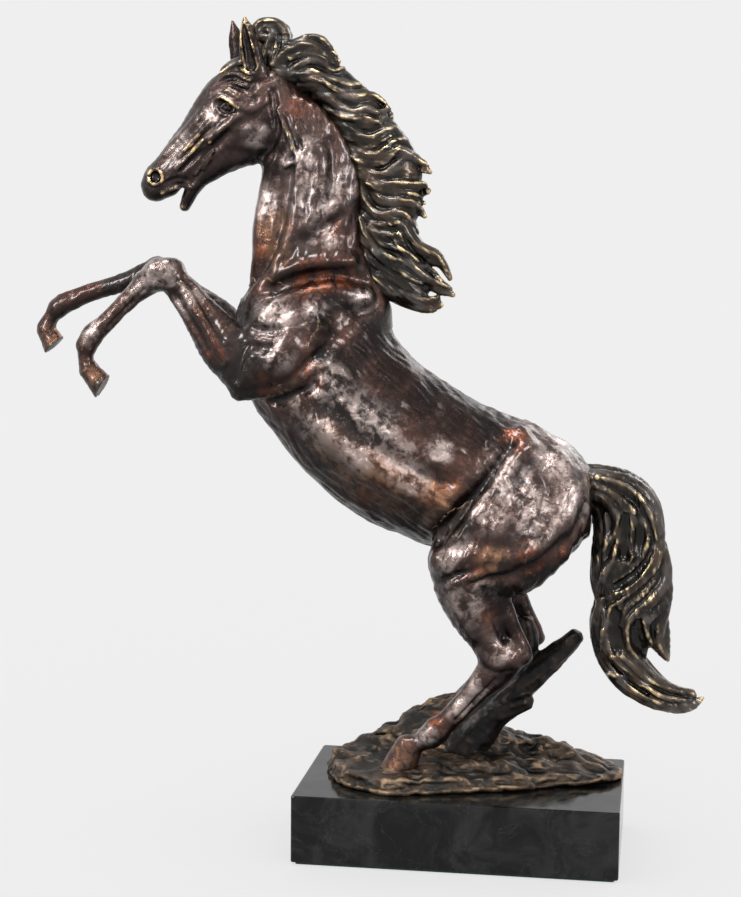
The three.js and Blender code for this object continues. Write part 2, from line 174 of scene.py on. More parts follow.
def stretch(x, y, z, a, b):
    """Distance to the straight stretch between two stations, which may differ in size."""
    ax, ay, az = b[:3] - a[:3]
    length_sq = max(ax * ax + ay * ay + az * az, 1e-6)
    length = math.sqrt(length_sq)
    tx, ty, tz = ax / length, ay / length, az / length
    side = np.array([-tx * ty, 1 - ty * ty, -tz * ty])
    norm = np.linalg.norm(side)
    side = side / norm if norm > 1e-3 else np.array([0.0, 0.0, 1.0])
    up = np.cross([tx, ty, tz], side)
    dx, dy, dz = x - a[0], y - a[1], z - a[2]
    along = dx * tx + dy * ty + dz * tz
    t = np.clip(along / length, 0, 1)
    over = along - t * length
    wide = dx * side[0] + dy * side[1] + dz * side[2]
    high = dx * up[0] + dy * up[1] + dz * up[2]
    height = a[3] + t * (b[3] - a[3])
    width = a[4] + t * (b[4] - a[4])
    end = np.minimum(height, width)
    k0 = np.sqrt((wide / width) ** 2 + (high / height) ** 2 + (over / end) ** 2)
    k1 = np.sqrt((wide / width**2) ** 2 + (high / height**2) ** 2 + (over / end**2) ** 2)
    return k0 * (k0 - 1) / (k1 + 1e-5)


# ---- the horse's masses: (x, y, z, half height in the bend's plane, half width) ----
BARREL = [
    (-114, 0, 296, 36, 24), (-102, 0, 274, 49, 33), (-86, 0, 249, 49, 37), (-67, 0, 227, 49, 40),
    (-45, 0, 210, 49.5, 41), (-21, 0, 198, 48.5, 41), (2, 0, 189, 46, 38), (22, 0, 181, 43, 36),
    (42, 0, 176, 38, 30),
]
CROUP = [(28, 0, 190, 36, 34), (46, 0, 184, 33, 32), (58, 0, 176, 26, 26)]
NECK = [
    (-90, 0, 286, 42, 26), (-97, 0, 308, 39, 25), (-101, 0, 326, 35, 22), (-103, 0, 343, 33, 20),
    (-101, 0, 361, 31, 18), (-102, 0, 380, 29, 17), (-108, 0, 398, 26, 16), (-121, 0, 412, 22, 14),
]
SKULL = [
    (-122, 0, 425, 18, 13), (-137, 0, 419, 25, 16), (-152, 0, 410, 24.5, 16), (-164, 0, 399, 20, 13.5),
    (-175, 0, 390, 16.5, 11), (-186, 0, 381, 13, 10), (-195, 0, 374, 11, 9.6), (-199, 0, 369, 9, 8.5),
]
JAW = [(-134, 0, 396, 12, 11), (-150, 0, 388, 9, 9), (-166, 0, 379, 7.5, 7.5), (-174, 0, 371, 5.5, 6)]
LOWER_LIP = [(-173, 0, 371, 4.5, 6), (-177, 0, 364, 4.2, 5.5), (-180, 0, 357, 3.6, 4.6)]
FOREHEAD = [(-146, 0, 438, 6, 9), (-158, 0, 431, 6, 10), (-166, 0, 423, 4, 8)]
UPPER_LIP = [(-190, 0, 370, 7, 7.5), (-199, 0, 366, 5.5, 7)]
EARS = {
    LEFT: [(-133, -9, 438, 7, 4), (-136, -11, 452, 7, 4), (-138, -11, 463, 5, 3),
           (-140, -10, 471, 1.2, 1.2)],
    RIGHT: [(-142, 9, 436, 7, 4), (-147, 11, 450, 6.5, 4), (-150, 11, 462, 4.5, 3),
            (-152, 10, 471, 1.2, 1.2)],
}
FORELEG = {
    LEFT: {
        "arm": [(-97, -22, 286, 22, 13), (-113, -26, 274, 24, 15), (-127, -28, 261, 18, 13.5),
                (-137, -28, 254, 12, 11)],
        "forearm": [(-137, -28, 255, 12, 11), (-147, -28, 270, 16, 12.5), (-157, -27, 283, 13.5, 11),
                    (-169, -27, 298, 10.5, 9), (-179, -26, 310, 9, 7.5)],
        "knee": [(-182, -26, 315, 10.5, 9.2), (-191, -26, 316, 9.5, 8.8)],
        "cannon": [(-190, -26, 315, 9.5, 7.8), (-200, -26, 308, 7.5, 6), (-211, -26, 298, 6, 4.9),
                   (-223, -26, 286, 5.8, 4.8), (-232, -26, 278, 6.6, 5.6)],
        "fetlock": [(-234, -26, 275, 7, 6.2), (-236, -26, 271, 6.6, 6.2)],
        "pastern": [(-237, -26, 270, 5.5, 5.2), (-237, -26, 262, 5, 4.9), (-235, -26, 256, 6, 5.8)],
    },
    RIGHT: {
        "arm": [(-97, 22, 286, 22, 13), (-116, 26, 276, 24, 15), (-131, 27, 267, 18, 13.5),
                (-142, 26, 262, 12, 11)],
        "forearm": [(-142, 26, 263, 12, 11), (-155, 26, 274, 15, 12), (-168, 26, 287, 13, 10.5),
                    (-182, 25, 299, 10, 8.5), (-192, 25, 308, 9, 7.5)],
        "knee": [(-195, 25, 312, 10, 9), (-204, 25, 315, 9.5, 8.6)],
        "cannon": [(-203, 25, 315, 9.5, 7.8), (-215, 25, 312, 7.5, 6), (-229, 24, 307, 6, 4.9),
                   (-246, 24, 302, 5.8, 4.8), (-261, 24, 296, 6.6, 5.6)],
        "fetlock": [(-266, 24, 294, 7, 6.2), (-270, 24, 291, 6.6, 6.2)],
        "pastern": [(-271, 24, 290, 5.5, 5.2), (-275, 24, 284, 5, 4.9), (-278, 24, 278, 6, 5.8)],
    },
}
# A hoof: coronet's centre, then toe and heel on the sole, and its half width there.
FORE_HOOF = {
    LEFT: {"coronet": (-235, -26, 255), "toe": (-230, -26, 239), "heel": (-222, -26, 252), "half": 8},
    RIGHT: {"coronet": (-278, 24, 276), "toe": (-278, 24, 262), "heel": (-267, 24, 272), "half": 8},
}
HINDLEG = {
    LEFT: {
        "thigh": [(52, -17, 184, 26, 15), (40, -22, 168, 33, 20), (22, -25, 156, 36, 22),
                  (4, -27, 145, 27, 20)],
        "stifle": [(0, -27, 150, 16, 17), (-7, -27, 144, 14, 14)],
        "gaskin": [(2, -27, 140, 21, 18), (5, -27, 126, 21, 16.5), (9, -27, 112, 17, 13.5),
                   (15, -27, 99, 12.5, 10.5), (21, -27, 88, 11.5, 9)],
        "tendon": [(22, -27, 118, 9, 6), (31, -27, 103, 5.5, 4.5), (37, -27, 91, 5, 4.5),
                   (39, -27, 86, 5, 5.5)],
        "hock": [(22, -27, 87, 13.5, 10), (30, -27, 84, 11, 9.5)],
        "cannon": [(24, -27, 80, 11.5, 8.5), (14, -27, 68, 9, 7), (3, -27, 55, 7, 6), (-7, -27, 44, 7, 6),
                   (-13, -27, 38, 8, 7)],
        "fetlock": [(-15, -27, 36, 8.4, 7.6), (-18, -27, 33, 8, 7.4)],
        "pastern": [(-18, -27, 33, 7, 6.8), (-26, -28, 28, 6, 6), (-33, -28, 24, 7, 7)],
    },
    RIGHT: {},
}
HIND_STAGGER = 4  # the right hind leg stands like the left one, this much further back
for part, rows in HINDLEG[LEFT].items():
    HINDLEG[RIGHT][part] = [(x + HIND_STAGGER, -y, z, high, wide) for x, y, z, high, wide in rows]
HIND_HOOF = {
    LEFT: {"coronet": (-31, -28, 26), "toe": (-48, -28, 12), "heel": (-27, -28, 12), "half": 9.5},
    RIGHT: {"coronet": (-27, 28, 26), "toe": (-44, 28, 12), "heel": (-23, 28, 12), "half": 9.5},
}


def add_hoof(clay, hoof):
    """A hoof flares from its coronet to a flat sole."""
    coronet, toe, heel = (np.array(hoof[k], float) for k in ("coronet", "toe", "heel"))
    middle = (toe + heel) / 2
    across = heel - toe
    normal = np.cross(across, [0, 1, 0])
    normal /= np.linalg.norm(normal)
    if normal @ (middle - coronet) < 0:
        normal = -normal
    half, length = hoof["half"], np.linalg.norm(across) / 2
    beyond = middle + (middle - coronet) * 0.4
    slope = [[*coronet, length * 0.82, half * 0.72], [*beyond, length * 1.12, half * 1.08]]
    cut, local = clay.limb(slope, 2, steps=1)
    if cut is None:
        return
    _, (x, y, z) = clay.window(clay.low + clay.cell * np.array([c.start for c in cut]),
                               clay.low + clay.cell * np.array([c.stop - 1 for c in cut]))
    x, y, z = x[: local.shape[0]], y[:, : local.shape[1]], z[:, :, : local.shape[2]]
    sole = (x - toe[0]) * normal[0] + (y - toe[1]) * normal[1] + (z - toe[2]) * normal[2]
    clay.d[cut] = melt(clay.d[cut], np.maximum(local, sole), 1.2)


# Bones under thick muscle blend softly into each other, and bare ones blend less.
MUSCLED = ("thigh", "stifle", "gaskin", "arm", "forearm")


def build_part(name, low, high, cell):
    """One part of the horse on its own, before the parts are blended."""
    clay = Clay(low, high, cell)
    if name == "torso":
        clay.add(BARREL, 0)
        clay.add(CROUP, 10)
    elif name == "neck_head":
        clay.add(NECK, 0)
        clay.add(SKULL, 5)
        clay.add(JAW, 4)
        clay.add(UPPER_LIP, 3)
        clay.add(LOWER_LIP, 2)
        clay.add(FOREHEAD, 3)
        for side, ear in EARS.items():
            clay.add(ear, 3)
            # The ear is hollowed from the outer side, wide at its root.
            (x0, y0, z0), (x1, y1, z1) = ear[0][:3], ear[-1][:3]
            inside = []
            for t in (0.12, 0.4, 0.65, 0.85):
                spot = x0 + t * (x1 - x0) - 1.5, y0 + t * (y1 - y0) + side * 4.5, z0 + t * (z1 - z0)
                inside.append((*spot, 4.2 - 2.6 * t, 3))
            clay.carve(inside, 0.8)
    else:
        side = LEFT if name.startswith("left") else RIGHT
        leg, hoof = (FORELEG, FORE_HOOF) if "foreleg" in name else (HINDLEG, HIND_HOOF)
        for bone, stations in leg[side].items():
            clay.add(stations, 5 if bone in MUSCLED else 2.5)
        add_hoof(clay, hoof[side])
    return clay.d


# The horse's parts, and over how many millimetres each blends into those before it.
PARTS = {
    "torso": 0,
    "neck_head": 9,
    "left_foreleg": 5,
    "right_foreleg": 5,
    "left_hind_leg": 6,
    "right_hind_leg": 6,
}


# ---- relief, draped on the skin ----
def raw_horse(low, high, cell):
    """The horse before its relief, as one body, and the distance field of each part."""
    fields = {name: build_part(name, low, high, cell) for name in PARTS}
    clay = Clay(low, high, cell)
    for name, reach in PARTS.items():
        clay.d = melt(clay.d, fields[name], reach)
    return clay, fields


# A coarse horse, to find the skin with.
SKIN = raw_horse((-292, -60, 0), (90, 60, 480), SKIN_CELL)[0]


def draped(points, side, sink, thick, lift):
    """Stations for a line of relief. Its ends sink away into the skin."""
    stations = []
    for n, (x, z, radius) in enumerate(points):
        out = SKIN.face(x, z, side)
        if out is None:
            continue
        share = math.sin(math.pi * (n + 0.5) / len(points)) ** 0.5
        middle = out + sink * (thick or radius) + lift * share
        stations.append((x, side * middle, z, radius, thick or radius))
    return stations if len(stations) > 1 else stations * 2


RIDGES = []
GROOVES = []


def ridge(radius, proud, *points, sides=BOTH, thick=None, reach=4.0):
    """A line of clay laid on the skin through (x, z) points. A point may have a radius of its own."""
    RIDGES.append(([(*point, radius)[:3] for point in points], proud, sides, thick, reach))


def groove(radius, depth, *points, sides=BOTH, thick=None, reach=4.0):
    """The same, cut into the skin."""
    GROOVES.append(([(*point, radius)[:3] for point in points], depth, sides, thick, reach))


def ring(x, z, size):
    turns = np.linspace(0, 2 * math.pi, 13)
    return [(x + size * math.cos(a), z + size * math.sin(a)) for a in turns]


def describe_head():
    # The eye, deep under its brow.
    groove(4.4, 3.6, (-153, 418.5), (-147, 416.5), reach=1.5)
    ridge(2.8, -1.5, (-151, 417), (-149, 416.5), reach=0.4)
    ridge(1.3, 1.7, (-159, 421.5), (-154, 423.5), (-148, 421), (-142, 416.5), reach=1.5)
    ridge(0.9, 0.7, (-156, 416), (-152, 412.5), (-146, 413), reach=1)
    ridge(2.6, 1.4, (-160, 426), (-152, 428), (-145, 425), (-138, 420), reach=3)
    groove(2.2, 1.2, (-141, 421), (-134, 422), (-128, 427), reach=3)
    ridge(2.4, 1.0, (-141, 417), (-134, 416), (-127, 420), reach=3)
    groove(4.5, 1.6, (-142, 431), (-136, 429), reach=3)
    ridge(5, 1.4, (-130, 425), (-128, 423), reach=3)
    # Hair that falls on the forehead.
    ridge(1.3, 1.2, (-126, 441), (-133, 437), (-141, 440), (-147, 443), reach=1.2)
    ridge(1.8, 1.3, (-127, 436), (-136, 434), (-144, 437), (-152, 437), (-158, 431), reach=1.5)
    ridge(1.5, 0.9, (-138, 430), (-146, 432), (-153, 431), (-158, 427), reach=1.5)
    # The cheek bone, the facial crest and the strings of muscle down to the nose and lips.
    ridge(2.0, 1.8, (-142, 412), (-148, 408), (-155, 403), (-161, 398), reach=2.5)
    ridge(2.0, 1.6, (-160, 399), (-162, 398), reach=1)
    groove(3.0, 1.5, (-149, 401), (-157, 394), (-165, 387), reach=2.5)
    ridge(13, 1.2, (-137, 404), (-138, 396), thick=4)
    groove(2.8, 2.6, (-122, 426), (-119, 412), (-120, 400), (-129, 388), reach=3)
    ridge(1.0, 1.0, (-159, 409), (-166, 403), (-173, 396), (-181, 388), reach=2)
    groove(1.0, 1.0, (-158, 405), (-165, 400), (-172, 393), (-179, 386), reach=1.5)
    ridge(0.9, 0.9, (-163, 399), (-169, 394), (-176, 387), (-183, 380), reach=1.5)
    ridge(0.9, 0.9, (-159, 391), (-165, 384), (-171, 377), reach=1.5)
    groove(1.0, 1.0, (-166, 391), (-173, 385), (-180, 378), reach=1.5)
    ridge(0.9, 0.7, (-161, 387), (-166, 380), reach=1.5)
    groove(1.4, 1.0, (-163, 385), (-169, 378), (-174, 371), reach=1.5)
    ridge(2.2, 0.5, (-166, 413), (-178, 401), (-190, 389))
    # The nostril and the lips.
    groove(3.6, 4.0, (-197, 375.5), (-196, 374.5), reach=0.8)
    ridge(1.1, 0.9, *ring(-196.5, 375, 4.8), reach=0.9)
    ridge(1.2, 1.0, (-193, 365.5), (-187, 368), (-181, 369.5), (-174, 368.5), reach=1.2)
    groove(1.0, 0.8, (-190, 371), (-183, 374), (-177, 373), reach=1.5)


def describe_neck():
    ridge(6, 1.2, (-120, 384), (-125, 367), (-128, 350), (-129, 331), (-131, 315))
    groove(3.6, 2.8, (-109, 386), (-113, 368), (-115, 352), (-118, 336), (-125, 320), (-134, 307))
    ridge(3.4, 1.9, (-103, 382), (-105, 364), (-107, 350), (-111, 335), (-120, 318), (-133, 302))
    ridge(5, 1.2, (-94, 392), (-92, 374), (-94, 356), (-98, 344), reach=5)
    groove(3.2, 1.3, (-86, 396), (-83, 376), (-86, 358), (-92, 346), reach=5)
    ridge(4.5, 0.9, (-76, 380), (-75, 362), (-78, 346), reach=5)
    groove(3.6, 0.8, (-101, 338), (-90, 344), (-78, 352), reach=5)
    ridge(4, 0.4, (-98, 348), (-87, 354), (-77, 362), reach=5)
    ridge(1.6, 1.3, (-118, 416), (-113, 404), (-108, 393), (-104, 384), reach=2)
    groove(2.2, 1.2, (-113, 412), (-108, 400), (-102, 390), reach=2.5)
    ridge(1.4, 0.5, (-113, 382), (-106, 386), (-100, 393), reach=2)
    ridge(3, 1.2, (-108, 422), (-92, 412), (-80, 396), (-74, 378), (-73, 356), (-73, 336))


def describe_shoulder():
    ridge(3.2, 1.3, (-134, 299), (-124, 311), (-108, 320), (-90, 324), (-72, 325))
    groove(7, 3.0, (-124, 303), (-107, 312), (-88, 316), (-70, 315), (-58, 307), reach=6)
    ridge(6, 1.7, (-118, 296), (-102, 302), (-84, 306), (-64, 303), reach=5)
    ridge(8, 2.0, (-125, 298), (-121, 290), reach=5)
    groove(3.2, 2.2, (-128, 284), (-112, 283), (-98, 288), (-82, 293), (-66, 296))
    ridge(13, 1.2, (-104, 278), (-92, 284, 11), thick=6, reach=5)
    groove(5, 3.0, (-56, 298), (-70, 288), (-83, 277), (-90, 264), (-98, 252), reach=6)
    ridge(14, 1.8, (-112, 268), (-106, 262), thick=6, reach=5)
    groove(2.6, 1.4, (-128, 273), (-113, 271), (-100, 277))
    ridge(4.4, 2.2, (-139, 243), (-116, 246), (-101, 253), (-90, 261))
    groove(3, 2.0, (-92, 250), (-104, 243), (-118, 238))
    groove(2.0, 1.6, (-133, 273), (-137, 262), (-139, 253), sides=(LEFT,))
    # The muscles of the flank.
    ridge(7, 1.2, (-86, 226), (-62, 205), (-36, 190), (-14, 180), reach=8)
    groove(4, 1.0, (-84, 236), (-60, 218), (-36, 204), (-12, 193), reach=7)


def describe_hindquarter():
    groove(5, 3.8, (30, 217), (22, 205), (9, 187), (-4, 171), (-15, 158), reach=5)
    ridge(4, 1.4, (18, 212), (5, 195), (-9, 179), (-20, 167), reach=5)
    ridge(3.4, 2.0, (34, 213), (26, 200), (19, 186), (10, 172), (0, 160), reach=5)
    groove(3, 1.4, (40, 203), (33, 190), (27, 177), reach=6)
    ridge(15, 1.6, (30, 182), (20, 166), thick=7, reach=6)
    ridge(5, 1.3, (56, 206), (64, 194), (65, 180), (60, 167), reach=6)
    groove(4, 1.3, (47, 205), (53, 190), (52, 176), reach=6)
    ridge(3.4, 1.4, (60, 178), (57, 166), (48, 156), (38, 150), (28, 147))
    groove(6, 2.2, (72, 174), (66, 162), (57, 152), (47, 145), reach=5)
    ridge(5, 1.8, (-6, 146), (12, 149), (28, 149), (42, 154))
    groove(4.4, 2.8, (-8, 135), (12, 137), (30, 138), (44, 143))
    ridge(6, 1.8, (-13, 146), (-8, 141))
    ridge(2.4, 1.2, (-4, 132), (12, 139), (27, 143))
    ridge(6, 1.8, (33, 220), (38, 213), reach=5)


def describe_legs():
    left, right = (LEFT,), (RIGHT,)
    ridge(2.0, 1.1, (-174, 309), (-162, 291), (-152, 275), (-146, 264), sides=left)
    groove(1.8, 1.3, (-178, 303), (-167, 286), (-157, 270), sides=left)
    groove(1.4, 1.0, (-168, 309), (-157, 292), (-147, 278), sides=left)
    groove(1.2, 1.1, (-198, 306), (-209, 295), (-221, 283), sides=left, reach=1)
    ridge(3, 0.8, (-184, 321), (-190, 319), sides=left)
    ridge(2.5, 0.8, (-183, 309), (-191, 309), sides=left)
    ridge(2.0, 1.1, (-186, 309), (-173, 292), (-162, 277), sides=right)
    groove(1.8, 1.2, (-190, 303), (-179, 288), (-168, 273), sides=right)
    groove(1.2, 1.0, (-212, 309), (-230, 302), (-250, 296), sides=right, reach=1)
    for side, shift in ((LEFT, 0), (RIGHT, HIND_STAGGER)):
        for make, radius, amount, points, reach in (
            (groove, 2.4, 2.2, ((15, 128), (21, 112), (27, 98)), 4.0),
            (ridge, 2.6, 1.0, ((6, 122), (10, 108), (17, 93)), 4.0),
            (ridge, 2.2, 0.8, ((-6, 126), (0, 112), (8, 99)), 4.0),
            (ridge, 2.4, 0.8, ((14, 88), (22, 82), (30, 84)), 4.0),
            (groove, 1.4, 1.2, ((22, 72), (10, 58), (-2, 45)), 1),
        ):
            make(radius, amount, *((x + shift, z) for x, z in points), sides=(side,), reach=reach)


for describe in (describe_head, describe_neck, describe_shoulder, describe_hindquarter, describe_legs):
    describe()


def add_relief(clay):
    """Cuts all the grooves, then lays all the ridges."""
    for points, depth, sides, thick, reach in GROOVES:
        for side in sides:
            stations = draped(points, side, 1, thick, -depth)
            if stations:
                clay.carve(stations, reach)
    for points, proud, sides, thick, reach in RIDGES:
        for side in sides:
            stations = draped(points, side, -1, thick, proud)
            if stations:
                clay.add(stations, reach)


# ---- from clay to mesh ----
BAND = 3.0  # distances are only kept this near the surface


def quads_of(clay, field):
    """The surface of a distance grid as points in millimetres and quads facing out."""
    solid = np.clip(field, -BAND, BAND)
    for axis in range(3):
        edge = [slice(None)] * 3
        for at in (0, -1):
            edge[axis] = at
            solid[tuple(edge)] = BAND
    grid = openvdb.FloatGrid(BAND)
    grid.copyFromArray(solid.astype(np.float32))
    points, quads = grid.convertToQuads(isovalue=0.0)
    points = points.astype(float) * clay.cell + clay.low
    return keep_largest(points, quads.astype(np.int64))


def keep_largest(points, quads):
    """Drops loose crumbs of clay."""
    label = np.arange(len(points))
    while True:
        lowest = label[quads].min(axis=1)
        before = label.copy()
        for corner in range(4):
            np.minimum.at(label, quads[:, corner], lowest)
        label = label[label]
        if np.array_equal(before, label):
            break
    names, counts = np.unique(label, return_counts=True)
    kept = label == names[counts.argmax()]
    index = np.cumsum(kept) - 1
    return points[kept], index[quads[kept[quads[:, 0]]]]


def new_mesh(name, points, quads):
    mesh = bpy.data.meshes.new(name)
    mesh.vertices.add(len(points))
    mesh.vertices.foreach_set("co", points.astype(np.float32).ravel())
    mesh.loops.add(quads.size)
    mesh.loops.foreach_set("vertex_index", quads.astype(np.int32).ravel())
    mesh.polygons.add(len(quads))
    mesh.polygons.foreach_set("loop_start", np.arange(0, quads.size, 4, dtype=np.int32))
    mesh.update(calc_edges=True)
    mesh.polygons.foreach_set("use_smooth", np.ones(len(quads), bool))
    return mesh


def normals_of(mesh):
    flat = np.zeros(len(mesh.vertices) * 3, np.float32)
    mesh.vertex_normals.foreach_get("vector", flat)
    return flat.reshape(-1, 3)


def lattice_noise(points, size, seed):
    """Smooth noise from -1 to 1 with bumps about `size` apart."""
    place = points / size
    corner = np.floor(place).astype(np.int64)
    part = place - corner
    part = part * part * (3 - 2 * part)
    total = np.zeros(len(points))
    for step in itertools.product((0, 1), repeat=3):
        weight = np.prod(np.where(step, part, 1 - part), axis=1)
        total += weight * (scramble(corner + step, seed) * 2 - 1)
    return total


def scramble(cells, seed):
    """A fixed random number from 0 to 1 for each integer cell."""
    mixed = cells[:, 0] * 73856093 ^ cells[:, 1] * 19349663 ^ cells[:, 2] * 83492791 ^ (seed * 2654435761)
    mixed = (mixed ^ (mixed >> 13)) * 1274126177
    mixed = (mixed ^ (mixed >> 16)) & 0xFFFFFF
    return mixed / 0xFFFFFF


def dents(points, size, seed):
    """Scooped facets with crisp ridges between them, from 0 in a scoop to about 1 on a ridge."""
    place = points / size
    home = np.floor(place).astype(np.int64)
    nearest = np.full(len(points), 9.0)
    for step in itertools.product((-1, 0, 1), repeat=3):
        cell = home + step
        spot = cell + np.stack([scramble(cell, seed + k) for k in (1, 2, 3)], axis=1)
        nearest = np.minimum(nearest, ((place - spot) ** 2).sum(axis=1))
    return np.minimum(nearest, 1.2) - 0.35


def smoothed(values, quads, rounds):
    """Averages each point with its neighbours on the mesh, a number of times."""
    heads = quads.ravel()
    tails = np.roll(quads, 1, axis=1).ravel()
    start = np.concatenate([heads, tails])
    end = np.concatenate([tails, heads])
    count = np.bincount(start, minlength=len(values))
    for _ in range(rounds):
        sums = [np.bincount(start, column[end], minlength=len(values)) for column in values.T]
        values = np.stack([total / count for total in sums], 1)
    return values


# Places with a colour of their own, and places with painted highlights and painted shade: (x, z, radius)
# right across the horse, or (x, y, z, radius).
SPOTS = {
    # Rust-red patina, except at the neck's base, where two spots give the painted shadow band its
    # brown-red.
    "rust": [
        (31, 219, 8), (41, 151, 9), (-120, 249, 9), (-94, 256, 8), (-94, 314, 11), (-76, 316, 9),
        (-128, 330, 7), (-58, 186, 10), (-11, 190, 10), (12, 140, 7), (16, 112, 6), (-152, 268, 6),
        (-15, 40, 6), (-40, -30, 10, 8), (5, -27, 52, 5), (-46, 200, 7), (-84, 344, 6), (-108, 416, 5),
        (62, 150, 7),
    ],
    # Painted highlights: pale patches where the softboxes' reflections fall on the ribs, thigh, shoulder,
    # neck and legs.
    "pale": [
        (-92, 237, 14), (-71, 228, 18), (-52, 221, 14), (-84, 250, 12), (-15, 211, 8), (27, 196, 13),
        (16, 178, 12), (44, 172, 13), (56, 210, 13), (70, 184, 12), (-4, 158, 9), (-117, 290, 11),
        (-92, 297, 6), (-64, 301, 6), (-112, 268, 9), (-96, 362, 13), (-88, 342, 8), (-100, 384, 12),
        (-76, 370, 9), (-132, 400, 7), (-160, 409, 7), (-180, 394, 8), (4, 118, 11), (-128, 360, 9),
        (12, 128, 9), (-4, 130, 8), (14, 68, 10), (2, 54, 9), (-20, 34, 6), (24, 90, 7), (-175, 303, 11),
        (-192, 316, 12), (-205, 304, 11), (-228, 282, 10), (-4, 138, 9), (36, 190, 12), (-36, 205, 12),
        (-84, 226, 14), (-64, 210, 12), (-30, 196, 10),
    ],
    # Partly dark patina on the back and loin, partly painted shade in the eye, the ears, the creases and
    # the shadow band at the neck's base.
    "dark": [
        (-100, 312, 11), (-80, 314, 10), (-150, 416.5, 4), (-122, 288, 5), (-70, 296, 7), (-85, 286, 8),
        (-76, 269, 7), (-147, 438, 9), (-136, 436, 7), (-138, -10, 454, 12), (-149, 10, 454, 12),
        (-176, 362, 8), (-8, 231, 17), (12, 222, 13), (-25, 243, 16), (-45, 258, 15), (-60, 275, 12),
        (-122, 408, 7), (-118, 394, 8), (-122, 380, 7), (25, 118, 8), (30, 104, 8), (20, 130, 9),
        (-70, 262, 10), (45, 140, 10),
    ],
    # Painted sheen: a lighter mauve-grey tone standing in for the broad soft reflection on the neck, head
    # and thigh.
    "mauve_sheen": [
        (-100, 370, 36), (-146, 405, 34), (-180, 390, 20), (-110, 290, 16), (48, 190, 30), (10, 100, 22),
    ],
    "gilt": [
        (-136, 439, 6), (-151, 420, 7), (-197, 375, 9), (-186, 367, 9), (-162, 398, 4), (-137, 458, 11),
        (-108, 392, 8), (-172, 392, 8), (-235, -26, 262, 9), (-16, -27, 34, 6), (24, -27, 88, 7),
    ],
    # Copper-brown bronze at the hooves and the rock's foot; on the belly the same colour is a painted warm
    # highlight.
    "copper_and_highlight": [
        (-64, 199, 17), (-42, 190, 17), (-16, 184, 14), (-84, 216, 12), (20, 147, 9), (-120, 345, 9),
        (-118, 330, 8), (-230, -26, 247, 9), (-274, 24, 270, 9), (-37, -28, 17, 12), (-33, 28, 17, 12),
    ],
}


def spotted(points, spots):
    """From 0 to 1, how far inside any of the spots each point is. A spot fades over its own radius."""
    value = np.zeros(len(points))
    for x, *y, z, radius in spots:
        across = points[:, 1] - y[0] if y else 0
        away = np.sqrt((points[:, 0] - x) ** 2 + across**2 + (points[:, 2] - z) ** 2)
        value = np.maximum(value, np.clip(1.5 - away / radius, 0, 1))
    return value


def set_attribute(mesh, name, values):
    """Gives each point a number that the materials read."""
    mesh.attributes.new(name, "FLOAT", "POINT").data.foreach_set("value", values.astype(np.float32))


def skinned(name, clay, field, chase, grain=None):
    """Meshes a field, chases the surface and records where it is proud and where it is sunk."""
    points, quads = quads_of(clay, field)
    mesh = new_mesh(name, points, quads)
    normals = normals_of(mesh)
    if ((points - points.mean(0)) * normals).sum() < 0:
        quads = quads[:, ::-1]
        mesh = new_mesh(name, points, quads)
        normals = normals_of(mesh)
    points = points + normals * chase(points)[:, None]
    soft = smoothed(points, quads, 5)
    broad = smoothed(soft, quads, 30)
    set_attribute(mesh, "fine", ((points - soft) * normals).sum(axis=1) / clay.cell)
    set_attribute(mesh, "broad", ((points - broad) * normals).sum(axis=1))
    if grain:
        set_attribute(mesh, "grain", grain(points))
    for colour, spots in SPOTS.items():
        set_attribute(mesh, colour, spotted(points, spots))
    # Painted shade: what faces down is darkened, as if out of the light.
    set_attribute(mesh, "under", np.clip((0.15 - normals[:, 2]) * 1.3, 0, 1))
    world = (points + (0, 0, TOP)) * MM
    mesh.vertices.foreach_set("co", world.astype(np.float32).ravel())
    mesh.update()
    return mesh


def place(name, mesh, slot, *nodes):
    """Puts a finished mesh in the scene in the place of CAD nodes."""
    piece = bpy.data.objects.new(name, mesh)
    bpy.context.scene.collection.objects.link(piece)
    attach(piece, "root")
    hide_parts(*nodes)


# How far the tool marks lean from level, in degrees.
BARREL_LEAN, NECK_LEAN, FACE_LEAN = -38, 84, 43
FORELEG_LEAN, HIND_LEG_LEAN, LEG_GRAIN_LEAN = 55, 62, 60
WANDER_SIZE, WANDER = 34, 7  # the marks bend over this length, by about this much


def strokes(points, lean, size, seed, long=4):
    """Tool strokes, `long` times as long as they are wide, that lean from +X towards +Z and wander."""
    wander = np.stack([lattice_noise(points, WANDER_SIZE, seed + k) for k in (3, 4, 5)], axis=1) * WANDER
    x, y, z = (points + wander).T
    lean = math.radians(lean)
    along = x * math.cos(lean) + z * math.sin(lean)
    across = z * math.cos(lean) - x * math.sin(lean)
    turned = np.stack([along / long, y * 0.6, across], axis=1)
    return lattice_noise(turned, size, seed) * 0.7 + lattice_noise(turned, size / 2, seed + 2) * 0.3


def torso_chase(points):
    """Thumb-sized scoops, smaller tool marks, and strokes that follow the barrel."""
    large = dents(points * (1, 1, 0.8), 13, 7) * 1.3
    small = dents(points, 5, 21) * 0.4
    soft = lattice_noise(points, 20, 3) * 0.9
    patchy = np.clip(0.6 + lattice_noise(points, 30, 9), 0.25, 1.2)
    return (large + small) * patchy + soft + strokes(points, BARREL_LEAN, 3.4, 51) * 0.9


def share_of_face(points):
    """1 on the face, 0 on the neck, changing over 14 mm."""
    return np.clip((-112 - points[:, 0]) / 14, 0, 1) * np.clip((points[:, 2] - 352) / 14, 0, 1)


